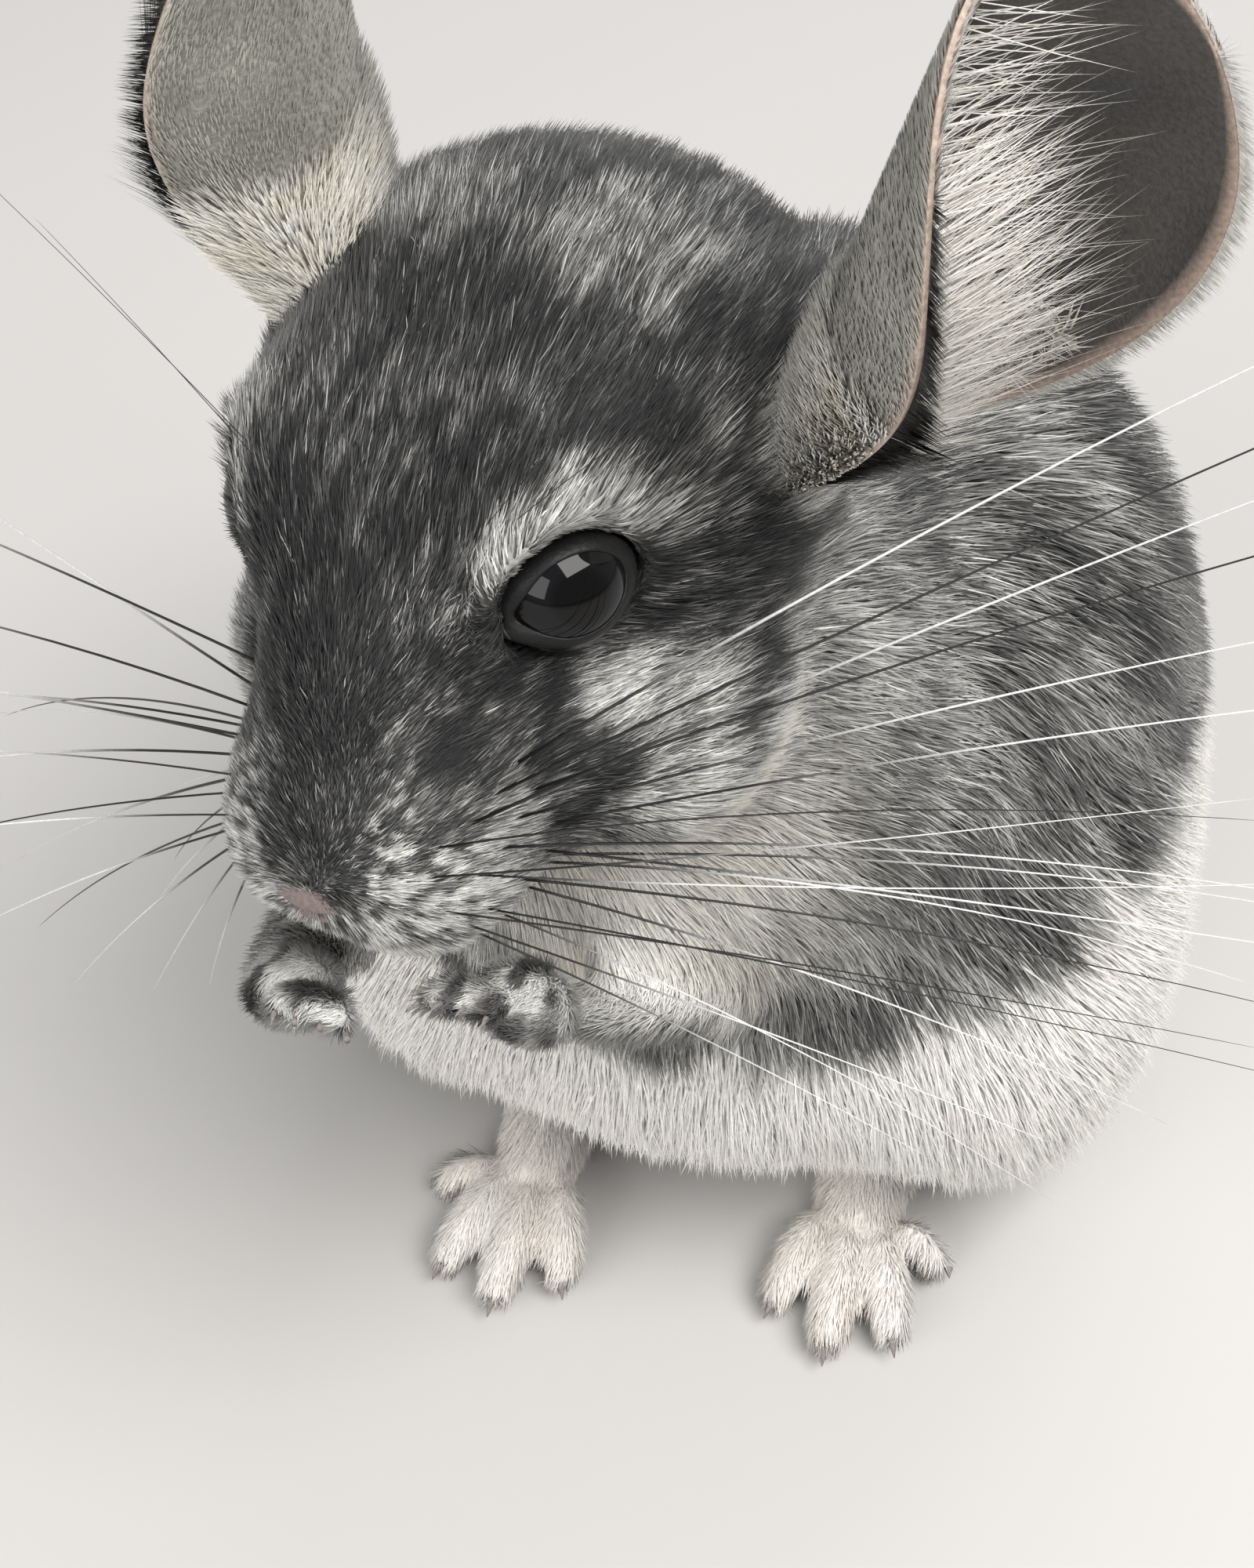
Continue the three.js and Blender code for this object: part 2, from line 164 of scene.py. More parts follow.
@dataclass(frozen=True)
class Pose:
    """Where the body and the head stand in the row frame, all in mm."""

    head_at: tuple = (-19.5, -60.5, 121.0)
    head_turns: tuple = (-13.0, 22.0, -5.0)
    eye_at: tuple = (14.0, -5.2, 7.7)
    eye_radius: float = 6.6

    @property
    def head_axes(self) -> Array:
        """Rotation from the head's own axes to the body's."""
        yaw, pitch, roll = (math.radians(a) for a in self.head_turns)
        turn = Matrix.Rotation(yaw, 3, "Z") @ Matrix.Rotation(pitch, 3, "X") @ Matrix.Rotation(roll, 3, "Y")
        return np.array(turn)

    @property
    def shift(self) -> Array:
        """From the body's own place to the row frame."""
        eyes = [np.array((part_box(f"eye_{s.word}")[0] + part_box(f"eye_{s.word}")[1]) / 2) for s in Side]
        middle = (eyes[0] + eyes[1]) / 2 / MM
        head = middle - self.head_axes @ np.array([0.0, self.eye_at[1], self.eye_at[2]])
        return head - np.array(self.head_at)

    def from_head(self, points: Array) -> Array:
        """Takes places in the head's axes to the body's."""
        return np.asarray(points, float) @ self.head_axes.T + np.array(self.head_at)

    def to_head(self, points: Array) -> Array:
        """Takes places in the body's axes to the head's."""
        return (np.asarray(points, float) - np.array(self.head_at)) @ self.head_axes

    def turn_from_head(self, rows: Array) -> Array:
        """Turns directions in the head's axes to the body's."""
        return np.asarray(rows, float) @ self.head_axes.T


POSE = Pose()
SHIFT = POSE.shift


def row_frame(points: Array) -> Array:
    """Takes places in the body's mm to metres in the row frame."""
    return (np.asarray(points, float) + SHIFT) * MM


def body_mm(points: Array) -> Array:
    """Takes metres in the row frame to the body's mm."""
    return np.asarray(points, float) / MM - SHIFT


def mesh_points(piece: bpy.types.Object) -> Array:
    """The vertices of a piece as its mesh holds them."""
    flat = np.zeros(len(piece.data.vertices) * 3)
    piece.data.vertices.foreach_get("co", flat)
    return flat.reshape(-1, 3)


def vertices_of(piece: bpy.types.Object) -> Array:
    """The vertices of a piece, in the body's mm."""
    return body_mm(mesh_points(piece))


def place_vertices(piece: bpy.types.Object, points: Array) -> None:
    """Moves the vertices of a piece to places in the body's mm."""
    piece.data.vertices.foreach_set("co", row_frame(points).ravel())
    piece.data.update()


def triangle_mesh(name: str, points: Array, faces: Array) -> bpy.types.Object:
    """Makes one object from triangles.

    Args:
        name: The object's name.
        points: Vertices in the body's mm.
        faces: Three vertex numbers in each row.

    Returns:
        The new object, linked to the scene.
    """
    mesh = bpy.data.meshes.new(name)
    points[:, 2] = np.maximum(points[:, 2], FLOOR_CLEAR - SHIFT[2])
    mesh.vertices.add(len(points))
    mesh.vertices.foreach_set("co", row_frame(points).ravel())
    mesh.loops.add(faces.size)
    mesh.loops.foreach_set("vertex_index", faces.ravel().astype(np.int32))
    mesh.polygons.add(len(faces))
    mesh.polygons.foreach_set("loop_start", np.arange(0, faces.size, 3, dtype=np.int32))
    mesh.polygons.foreach_set("use_smooth", np.ones(len(faces), bool))
    mesh.update(calc_edges=True)
    piece = bpy.data.objects.new(name, mesh)
    bpy.context.scene.collection.objects.link(piece)
    return piece


def paint(piece: bpy.types.Object, colours: Array, layer: str = "Coat") -> None:
    """Writes one colour to each vertex.

    Args:
        piece: The object to paint.
        colours: Linear red, green and blue in each row.
        layer: The attribute's name.
    """
    layer_data = piece.data.color_attributes.new(layer, "FLOAT_COLOR", "POINT")
    rgba = np.ones((len(colours), 4))
    rgba[:, :3] = np.clip(colours, 0, 1)
    layer_data.data.foreach_set("color", rgba.ravel())


def map_bake(piece: bpy.types.Object, places: Array, faces: Array) -> None:
    """Lays a piece out flat on its OFBake map.

    Args:
        piece: The object.
        places: Two numbers from 0 to 1 for each vertex.
        faces: Its triangles.
    """
    layer = piece.data.uv_layers.new(name="OFBake")
    layer.data.foreach_set("uv", places[faces.ravel()].ravel())


def only(piece: bpy.types.Object) -> bpy.types.Object:
    """Selects one object and nothing else, and returns it."""
    bpy.ops.object.select_all(action="DESELECT")
    piece.select_set(True)
    bpy.context.view_layer.objects.active = piece
    return piece


def begin(name: str, add: Callable, **sizes: float) -> bpy.types.Object:
    """Adds a primitive with nothing else selected.

    Args:
        name: The new object's name.
        add: The operator that adds it.
        **sizes: The operator's values.

    Returns:
        The new object.
    """
    bpy.ops.object.select_all(action="DESELECT")
    add(**sizes)
    piece = bpy.context.object
    piece.name = name
    return piece


def edit_all(piece: bpy.types.Object, operator: Callable, **values: object) -> None:
    """Runs one edit-mode operator on the whole mesh.

    Args:
        piece: The object.
        operator: The operator.
        **values: The operator's values.
    """
    only(piece)
    bpy.ops.object.mode_set(mode="EDIT")
    bpy.ops.mesh.select_all(action="SELECT")
    operator(**values)
    bpy.ops.object.mode_set(mode="OBJECT")


def joined(pieces: list) -> bpy.types.Object:
    """Joins pieces to the first of them, and returns it."""
    bpy.ops.object.select_all(action="DESELECT")
    for piece in pieces:
        piece.select_set(True)
    bpy.context.view_layer.objects.active = pieces[0]
    bpy.ops.object.join()
    return pieces[0]


def settle(piece: bpy.types.Object) -> None:
    """Applies the place, turn and size of an object to its mesh."""
    only(piece)
    bpy.ops.object.transform_apply(location=True, rotation=True, scale=True)


def apply_modifier(piece: bpy.types.Object, kind: str, **values: object) -> None:
    """Adds a modifier and applies it.

    Args:
        piece: The object.
        kind: Blender's name for the modifier.
        **values: Its settings.
    """
    only(piece)
    modifier = piece.modifiers.new(kind.title(), kind)
    for key, value in values.items():
        setattr(modifier, key, value)
    bpy.ops.object.modifier_apply(modifier=modifier.name)


def fix(piece: bpy.types.Object, slot: str, *nodes: str) -> None:
    """Parents a piece to the root, hides the solids that it replaces and logs its triangles.

    Args:
        piece: The finished object.
        slot: Not used.
        *nodes: The solids that it replaces.
    """
    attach(piece, "root")
    if nodes:
        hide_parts(*nodes)
    piece.data.calc_loop_triangles()
    LOG.info("%s: %d triangles", piece.name, len(piece.data.loop_triangles))


def fix_smooth(piece: bpy.types.Object, material: bpy.types.Material, slot: str, *nodes: str) -> None:
    """Shades a piece smooth, gives it its material and fixes it.

    Args:
        piece: The finished object.
        material: Its material.
        slot: The record's material slot.
        *nodes: The solids that it replaces.
    """
    only(piece)
    bpy.ops.object.shade_smooth()
    piece.data.materials.append(material)
    fix(piece, slot, *nodes)


class Surface:
    """A triangle surface with neighbours, for smoothing numbers over it."""

    def __init__(self, piece: bpy.types.Object) -> None:
        """Reads the triangles of a piece."""
        mesh = piece.data
        mesh.calc_loop_triangles()
        self.points = vertices_of(piece)
        self.faces = np.zeros(len(mesh.loop_triangles) * 3, np.int32)
        mesh.loop_triangles.foreach_get("vertices", self.faces)
        self.faces = self.faces.reshape(-1, 3)
        edges = np.zeros(len(mesh.edges) * 2, np.int32)
        mesh.edges.foreach_get("vertices", edges)
        self.edges = edges.reshape(-1, 2)
        count = np.bincount(self.edges.ravel(), minlength=len(self.points))
        self.share = 1.0 / np.maximum(count, 1)

    def normals(self) -> Array:
        """The outward direction at each vertex."""
        a, b, c = (self.points[self.faces[:, i]] for i in range(3))
        facing = np.cross(b - a, c - a)
        total = np.zeros_like(self.points)
        for corner in range(3):
            for axis in range(3):
                total[:, axis] += np.bincount(self.faces[:, corner], facing[:, axis], len(self.points))
        return unit(total)

    def smoothed(self, values: Array, rounds: int) -> Array:
        """Averages numbers with their neighbours.

        Args:
            values: One number or one vector for each vertex.
            rounds: How many times to average.

        Returns:
            The smoothed numbers.
        """
        values = np.array(values, float)
        flat = values.reshape(len(values), -1)
        one, two = self.edges.T
        for _ in range(rounds):
            for column in range(flat.shape[1]):
                near = np.bincount(one, flat[two, column], len(flat))
                near = near + np.bincount(two, flat[one, column], len(flat))
                flat[:, column] = 0.5 * flat[:, column] + 0.5 * near * self.share
        return flat.reshape(values.shape)


@dataclass(frozen=True)
class Lie:
    """How the coat lies in one region; lengths in mm, lean in degrees from the skin."""

    depth: float
    length: float
    width: float
    lean: float
    density: float


COAT = {
    "muzzle": Lie(depth=0.9, length=2.2, width=0.2, lean=24, density=16.0),
    "head": Lie(depth=1.9, length=4.0, width=0.25, lean=24, density=10.0),
    "neck": Lie(depth=2.5, length=6.4, width=0.34, lean=19, density=4.6),
    "trunk": Lie(depth=2.7, length=8.0, width=0.42, lean=17, density=3.0),
    "haunch_left": Lie(depth=2.7, length=8.0, width=0.42, lean=17, density=3.0),
    "haunch_right": Lie(depth=2.7, length=8.0, width=0.42, lean=17, density=3.0),
    "fore_leg_left": Lie(depth=1.8, length=4.6, width=0.28, lean=22, density=6.5),
    "fore_leg_right": Lie(depth=1.8, length=4.6, width=0.28, lean=22, density=6.5),
    "paw_left": Lie(depth=0.5, length=2.3, width=0.2, lean=20, density=20.0),
    "paw_right": Lie(depth=0.5, length=2.3, width=0.2, lean=20, density=20.0),
    "hind_foot_left": Lie(depth=0.6, length=2.8, width=0.24, lean=19, density=10.0),
    "hind_foot_right": Lie(depth=0.6, length=2.8, width=0.24, lean=19, density=10.0),
    "tail": Lie(depth=4.4, length=13.0, width=0.44, lean=21, density=3.2),
}
FLESH = list(COAT)
LIE_KEYS = ("depth", "length", "width", "lean", "density")


@dataclass(frozen=True)
class Tones:
    """The coat's colours, linear."""

    dark: tuple = (0.017, 0.017, 0.018)
    grey: tuple = (0.090, 0.090, 0.088)
    silver: tuple = (0.49, 0.488, 0.472)
    white: tuple = (0.87, 0.86, 0.83)
    cream: tuple = (0.80, 0.745, 0.63)
    beige: tuple = (0.78, 0.70, 0.63)


TONES = Tones()


@dataclass
class Markings:
    """The coat's pattern, as a function of the place on the body; patches are in the head's axes."""

    pale_patches: list = field(
        default_factory=lambda: [
            ((15.3, -8.2, 17.3), (3.6, 4.2, 3.8), 0.85),
            ((17.8, -2.6, 16.0), (4.2, 5.2, 4.6), 1.0),
            ((20.6, 2.6, 12.6), (3.8, 4.2, 4.6), 0.8),
            ((20.0, -8.0, -3.6), (7.5, 6.0, 3.8), 1.0),
            ((25.8, -3.0, -7.4), (6.0, 6.5, 4.0), 0.8),
            ((14.5, -10.8, 2.8), (2.6, 2.8, 2.6), 0.4),
            ((14.4, -25.8, -7.0), (6.0, 8.0, 5.0), 0.7),
            ((26.0, -13.5, -11.0), (7.5, 8.0, 5.5), 0.85),
            ((10.1, 24.5, 18.9), (9.0, 9.0, 8.0), 0.5),
            ((11.0, 8.0, 21.0), (5.0, 2.6, 5.0), 0.3),
        ]
    )
    dark_patches: list = field(
        default_factory=lambda: [
            ((0.0, -20.0, 12.5), (8.5, 15.0, 8.0), 0.75),
            ((4.0, 12.2, 20.6), (12.0, 4.6, 7.0), 0.65),
            ((17.3, 8.2, 16.8), (8.0, 4.6, 7.0), 0.85),
            ((14.9, -12.2, -0.6), (2.2, 2.6, 3.6), 0.9),
            ((15.8, -14.6, -4.6), (2.6, 3.4, 3.0), 0.85),
            ((19.5, -14.0, -8.4), (5.5, 3.0, 2.2), 0.7),
            ((27.0, 9.5, -4.0), (5.0, 6.5, 9.0), 0.75),
            ((24.5, 19.4, -12.0), (8.0, 8.0, 9.0), 0.6),
        ]
    )
    white_patches: list = field(
        default_factory=lambda: [
            ((29.0, 16.5, 4.0), (5.5, 6.0, 8.0), 1.0),
            ((30.0, 12.0, 10.0), (4.5, 4.0, 5.5), 0.9),
        ]
    )

    def head(self, spot: Array) -> Array:
        """Shade of the head, 0 black to 1 silver.

        Args:
            spot: Places in the head's axes, mm.

        Returns:
            The shade at each place.
        """
        far = spot * np.array([-1.0, 1.0, 1.0])
        shade = 0.21 + 0.34 * (cloudy(spot, 8.0, 3) - 0.5) + 0.50 * (cloudy(spot, 2.4, 5) - 0.5)
        streak = cloudy(spot, np.array([0.9, 3.6, 1.8]), 9)
        shade += 0.42 * (streak - 0.5)
        wobble = 1.6 * np.stack([cloudy(spot, 3.0, seed) - 0.5 for seed in (13, 15, 17)], axis=1)
        aims = ((self.pale_patches, 0.86), (self.dark_patches, 0.06), (self.white_patches, 1.25))
        for patches, aim in aims:
            for centre, radii, strength in patches:
                near = blot(spot + wobble, centre, radii, 0.35)
                patch = np.maximum(near, blot(far + wobble, centre, radii, 0.35)) * strength
                shade = shade * (1 - patch) + (aim + 0.25 * (streak - 0.5)) * patch
        snout = ramp(-spot[:, 1], 22.0, 31.0)
        ticking = ramp(cloudy(spot, 0.9, 11), 0.38, 0.62)
        side = ramp(np.abs(spot[:, 0] - 0.5), 2.5, 8.5)
        low = ramp(-spot[:, 2], -1.0, 9.0)
        tip = 0.13 + 0.58 * ticking * (0.25 + 0.75 * np.maximum(side, low)) + 0.28 * low + 0.20 * side
        shade = shade * (1 - snout) + tip * snout
        under = ramp(-spot[:, 2], 10.0, 18.0)
        return np.clip(shade + 0.5 * under, 0, 1.25)

    def colour(self, points: Array, name: Array, chance: Array = 0.0) -> tuple:
        """The coat's colours at its tips and at its roots; the roots are darker, partly for the slate-grey
        underfur and partly as painted shade deep among the hairs.

        Args:
            points: Places in the body's mm.
            name: Share of each region at each place, in the order of FLESH.
            chance: How much lighter or darker each hair is than its place.

        Returns:
            The tip colours and the root colours.
        """
        spot = POSE.to_head(points)
        share = {key: name[:, i] for i, key in enumerate(FLESH)}
        head = np.clip(share["head"] + share["muzzle"], 0, 1)
        x, y, z = points.T

        angle = np.arctan2(x + 8, -(y - 5))
        wave = z * 0.055 + 0.9 * cloudy(points, 26.0, 21)
        bars = 0.5 + 0.5 * np.sin(angle * 17.0 + 3.0 * wave)
        breaks = cloudy(points, np.array([7.0, 7.0, 15.0]), 23)
        fine = cloudy(points, np.array([2.2, 2.2, 5.0]), 25)
        flank = 0.48 + (0.28 - 0.18 * ramp(y, -10, 25)) * (bars - 0.5)
        flank = flank + 0.36 * (breaks - 0.5) + 0.30 * (fine - 0.5)
        flank += 0.16 * ramp(-y, 18, 60) * ramp(z, 60, 90)
        flank -= 0.22 * ramp(y, -5, 45)
        flank += 0.16 * blot(points, (25.0, -34.0, 97.0), (9.0, 6.0, 12.0))
        shade = flank * (1 - head) + self.head(spot) * head + chance

        tips = mix(TONES.dark, TONES.grey, ramp(shade, 0.08, 0.42))
        tips = mix(tips, np.array(TONES.silver), ramp(shade, 0.38, 0.85))
        tips = mix(tips, np.array(TONES.white), ramp(shade, 0.85, 1.2) * 0.8)

        ragged = 6.0 * (cloudy(points, 5.0, 31) - 0.5) + 4.0 * (cloudy(points, 2.0, 33) - 0.5)
        rise = 49 + 6 * ramp(x, 20, 48) - 28 * ramp(y, 0, 55)
        belly = 1 - ramp(z + ragged, rise - 3, rise + 3)
        belly *= 1 - share["tail"]
        white = mix(TONES.white, np.array(TONES.beige), 0.25 * cloudy(points, 9.0, 35))
        tips = mix(tips, white, belly * (1 - head))

        front = np.exp(-(((x + 1) / 15.0) ** 2)) * ramp(-y, 40, 60)
        front = front * ramp(z + ragged, 58, 68) * (1 - ramp(z, 98, 110))
        chin = ramp(-spot[:, 2], 15.0, 20.0) * head
        cream = mix(TONES.cream, np.array(TONES.white), cloudy(points, 8.0, 37))
        tips = mix(tips, cream, np.clip(np.maximum(front * (1 - head), chin), 0, 1) * 0.9)

        legs = share["fore_leg_left"] + share["fore_leg_right"]
        paws = share["paw_left"] + share["paw_right"]
        feet = share["hind_foot_left"] + share["hind_foot_right"]
        leg = mix(TONES.silver, np.array(TONES.white), cloudy(points, 4.0, 41))
        tips = mix(tips, leg, np.clip(legs, 0, 1) * 0.85)
        streaks = ramp(cloudy(points, np.array([1.6, 3.5, 3.5]), 43), 0.55, 0.7)
        paw = mix(mix(TONES.silver, np.array(TONES.white), 0.6), np.array(TONES.dark), streaks * 0.75)
        pads = blot(points, (-10.5, -90.0, 87.3), (2.6, 2.6, 2.6))
        pads = np.maximum(pads, blot(points, (-26.7, -92.9, 90.7), (3.6, 3.0, 3.0)))
        paw = mix(paw, np.array((0.07, 0.062, 0.062)), pads * 0.9)
        tips = mix(tips, paw, np.clip(paws, 0, 1))
        foot = mix(TONES.white, np.array(TONES.beige), 0.45 + 0.5 * (cloudy(points, 6.0, 45) - 0.5))
        tips = mix(tips, foot, np.clip(feet, 0, 1))

        upper = ramp(z, 14, 22)
        ticks = ramp(cloudy(points, 3.5, 47), 0.5, 0.8)
        brush = mix(TONES.dark, np.array(TONES.silver), 0.15 + 0.5 * ticks)
        brush = mix(brush, np.array(TONES.grey), 0.5 * (1 - upper))
        tips = mix(tips, brush, np.clip(share["tail"], 0, 1))

        # Roots darker than tips: partly the slate-grey underfur, partly painted shade deep among the hairs.
        bright = np.mean(tips, axis=1)
        roots = tips * (0.26 + 0.66 * ramp(bright, 0.3, 0.7))[:, None]
        return tips, roots


MARKINGS = Markings()


@dataclass
class EarSheet:
    """One ear: a thin sheet wrapped round into a scoop, in the head's axes, mm and degrees."""

    side: Side
    length: float = 66.0
    thick: float = 1.2
    front_radius: float = 14.0
    front_wrap: float = 92.0
    rear_radius: float = 18.0
    rear_wrap: float = 104.0
    root: tuple = (21.0, 19.0, -7.0)
    back: float = 10.0

    @property
    def lean(self) -> float:
        """How far the ear leans outwards."""
        return 24.0 if self.side is Side.LEFT else -6.0

    @property
    def turn(self) -> float:
        """How far the opening is turned to the front."""
        return -20.0 if self.side is Side.LEFT else -16.0

    def at(self, x: Array, y: Array, face: Array) -> Array:
        """Places a point of a square on the ear.

        Args:
            x: Across, -1 at the front rim and 1 at the rear rim.
            y: Along, -1 at the root and 1 at the tip.
            face: -0.5 on the inside, 0.5 on the outside.

        Returns:
            Places in the body's mm.
        """
        wide = x * np.sqrt(1 - y * y / 2)
        high = (y * np.sqrt(1 - x * x / 2) + 1) / 2
        rearward = ramp(wide, -0.5, 0.5)
        width = 0.5 + 0.5 * ramp(high, 0, 0.75)
        radius = (self.front_radius + (self.rear_radius - self.front_radius) * rearward) * width
        wrap = (self.front_wrap + (self.rear_wrap - self.front_wrap) * rearward) * (1.15 - 0.25 * high)
        angle = np.radians(wrap) * wide
        off = radius + face * self.thick
        local = np.stack([radius - off * np.cos(angle), off * np.sin(angle), high * self.length], axis=-1)
        turn = (
            Matrix.Rotation(math.radians(self.lean), 3, "Y")
            @ Matrix.Rotation(math.radians(-self.back), 3, "X")
            @ Matrix.Rotation(math.radians(self.turn), 3, "Z")
        )
        placed = local @ np.array(turn).T + np.array(self.root)
        placed[..., 0] *= self.side.value
        return POSE.from_head(placed)

    def frame_at(self, x: Array, y: Array, face: Array) -> tuple:
        """The place and axes of the ear's surface.

        Args:
            x: Across the ear.
            y: Along the ear.
            face: -0.5 on the inside, 0.5 on the outside.

        Returns:
            Places, outward normals, directions to the tip and directions to the rear rim.
        """
        step = 0.01
        place = self.at(x, y, face)
        inner = self.at(x, y, np.zeros_like(face))
        normal = unit(place - inner)
        higher, further = np.minimum(y + step, 0.999), np.minimum(x + step, 0.999)
        up = unit(self.at(x, higher, face) - self.at(x, higher - step, face))
        rear = unit(self.at(further, y, face) - self.at(further - step, y, face))
        return place, normal, up, rear

    def build(self) -> bpy.types.Object:
        """Models the ear's leather from a finely divided block.

        Returns:
            The ear as a closed mesh.
        """
        piece = begin(f"ear_leather_{self.side.word}", bpy.ops.mesh.primitive_cube_add, size=2)
        edit_all(piece, bpy.ops.mesh.subdivide, number_cuts=32)
        x, y, z = mesh_points(piece).T
        edge = np.maximum(np.abs(x), np.abs(y))
        rim = 0.75 + 0.35 * ramp(edge, 0.93, 0.99) - 0.5 * ramp(edge, 0.985, 1.0)
        place_vertices(piece, self.at(x, y, z * 0.5 * rim))
        edit_all(piece, bpy.ops.mesh.remove_doubles, threshold=0.00004)
        edit_all(piece, bpy.ops.mesh.normals_make_consistent, inside=False)
        return piece

    def colours(self, points: Array) -> Array:
        """The leather's colours.

        Args:
            points: Places in the body's mm.

        Returns:
            Linear colours.
        """
        grid = np.linspace(-0.995, 0.995, 90)
        gx, gy = (g.ravel() for g in np.meshgrid(grid, grid))
        lookup = []
        tree_points = []
        for face in (-0.5, 0.5):
            tree_points.append(self.at(gx, gy, np.full(len(gx), face)))
            lookup.append(np.stack([gx, gy, np.full(len(gx), face)], axis=1))
        lookup = np.concatenate(lookup)
        places = np.concatenate(tree_points)
        tree = KDTree(len(places))
        for index, place in enumerate(places):
            tree.insert(place, index)
        tree.balance()
        near = np.array([tree.find(p)[1] for p in points])
        x, y, face = lookup[near].T
        edge = ramp(np.maximum(np.abs(x), np.abs(y)), 0.955, 0.99)
        inside = (face < 0).astype(float)
        mottled = cloudy(points, 6.0, 61)
        outer = mix((0.20, 0.195, 0.175), np.array((0.31, 0.30, 0.27)), mottled)
        inner = mix((0.028, 0.027, 0.027), np.array((0.075, 0.066, 0.060)), mottled)
        foot = ramp(-y, -0.10, 0.16) * (1 - ramp(x, -0.3, 0.3))
        outer = mix(outer, np.array((0.62, 0.585, 0.52)), foot)
        base = ramp(-y, 0.35, 0.85)
        inner = mix(inner, np.array((0.55, 0.33, 0.27)), base * 0.75)
        colour = mix(outer, inner, inside)
        return mix(colour, np.array((0.50, 0.37, 0.30)), edge * 0.65)


EARS = {side: EarSheet(side) for side in Side}


@dataclass
class EyeSet:
    """The eyes and their lids; lengths in mm."""

    ring: float = 4.45
    squint: float = 0.88
    lid: float = 0.72
    stretch: float = 1.16
    outward: tuple = (0.76, -0.42, 0.48)
    corner: tuple = (-0.68, -0.72, 0.06)

    def centre(self, side: Side) -> Array:
        """Middle of an eyeball, in the body's mm."""
        low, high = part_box(f"eye_{side.word}")
        return body_mm(np.array((low + high) / 2))

    def axes(self, side: Side) -> tuple:
        """The eye's outward axis, the direction of its inner corner, and the one across both.

        Args:
            side: Which eye.

        Returns:
            Three unit vectors in the body's axes.
        """
        flip = np.array([side.value, 1, 1])
        out = unit(POSE.turn_from_head(unit(np.array(self.outward)) * flip))
        corner = POSE.turn_from_head(unit(np.array(self.corner)) * flip)
        corner = unit(corner - out * (corner @ out))
        return out, corner, np.cross(out, corner)

    def build_ball(self, side: Side) -> bpy.types.Object:
        """Models an eyeball with a slightly bulging clear front.

        Args:
            side: Which eye.

        Returns:
            The eyeball, coloured by the Coat attribute.
        """
        add = bpy.ops.mesh.primitive_uv_sphere_add
        piece = begin(f"eyeball_{side.word}", add, segments=72, ring_count=48, radius=1.0)
        local = mesh_points(piece)
        out, corner, across = self.axes(side)
        facing = local[:, 2]
        radius = POSE.eye_radius * (1 + 0.035 * ramp(facing, 0.55, 1.0))
        turned = local[:, :1] * corner + local[:, 1:2] * across + facing[:, None] * out
        place_vertices(piece, self.centre(side) + turned * radius[:, None])
        ring = np.hypot(local[:, 0], local[:, 1])
        front = facing > 0
        iris = mix((0.001,) * 3, np.array((0.004, 0.004, 0.005)), ramp(ring, 0.34, 0.44))
        iris = mix(iris, np.array((0.004, 0.003, 0.003)), ramp(ring, 0.62, 0.74))
        colours = np.where(front[:, None], iris, (0.004, 0.003, 0.003))
        paint(piece, colours)
        fix_smooth(piece, EyeGlass("eye_wet").material(), "eye", f"eye_{side.word}")
        return piece

    def build_lids(self, side: Side) -> bpy.types.Object:
        """Models the black lid rims as one almond-shaped ring.

        Args:
            side: Which eye.

        Returns:
            The lid ring.
        """
        tube = 0.25
        sizes = {"major_segments": 96, "minor_segments": 20, "major_radius": 1, "minor_radius": tube}
        piece = begin(f"lids_{side.word}", bpy.ops.mesh.primitive_torus_add, **sizes)
        local = mesh_points(piece)
        angle = np.arctan2(local[:, 1], local[:, 0])
        ring = (np.hypot(local[:, 0], local[:, 1]) - 1) / tube
        rise = local[:, 2] / tube
        thick = self.lid * (1 + 0.35 * np.maximum(np.cos(angle), 0) ** 4)
        wider = 1.0 + (thick * (0.55 + ring)) / self.ring
        height = 1.0 + (0.12 + 0.55 * rise) * thick / POSE.eye_radius
        wrinkle = 0.025 * np.sin(angle * 37) * np.clip(ring, 0, 1) * thick / self.ring
        place_vertices(piece, self.rim(side, angle, wider + wrinkle, height))
        edit_all(piece, bpy.ops.mesh.normals_make_consistent, inside=False)
        fix_smooth(piece, Leather("lid_skin", 0.5, colour=(0.004, 0.004, 0.0042)).material(), "eye")
        return piece

    def rim(self, side: Side, angle: Array, wider: Array, height: Array) -> Array:
        """Points round the lid opening.

        Args:
            side: Which eye.
            angle: Angles from the inner corner.
            wider: Factors on the opening's size.
            height: Distances from the middle, as shares of the radius.

        Returns:
            Places in the body's mm.
        """
        out, corner, across = self.axes(side)
        beak = np.maximum(np.cos(angle), 0) ** 6
        along = np.cos(angle) * self.ring * (self.stretch + 0.16 * beak)
        aside = np.sin(angle) * self.ring * (self.squint - 0.10 * np.abs(np.cos(angle)) ** 3)
        flat = (along[:, None] * corner + aside[:, None] * across) * wider[:, None]
        base = (along[:, None] * corner + aside[:, None] * across)
        lift = np.sqrt(np.maximum(POSE.eye_radius**2 - (base**2).sum(-1), 2.0))
        drop = (wider - 1) * self.ring * 0.9
        rise = (height - 1) * POSE.eye_radius
        return self.centre(side) + flat + (lift - drop + rise)[:, None] * out


EYES = EyeSet()


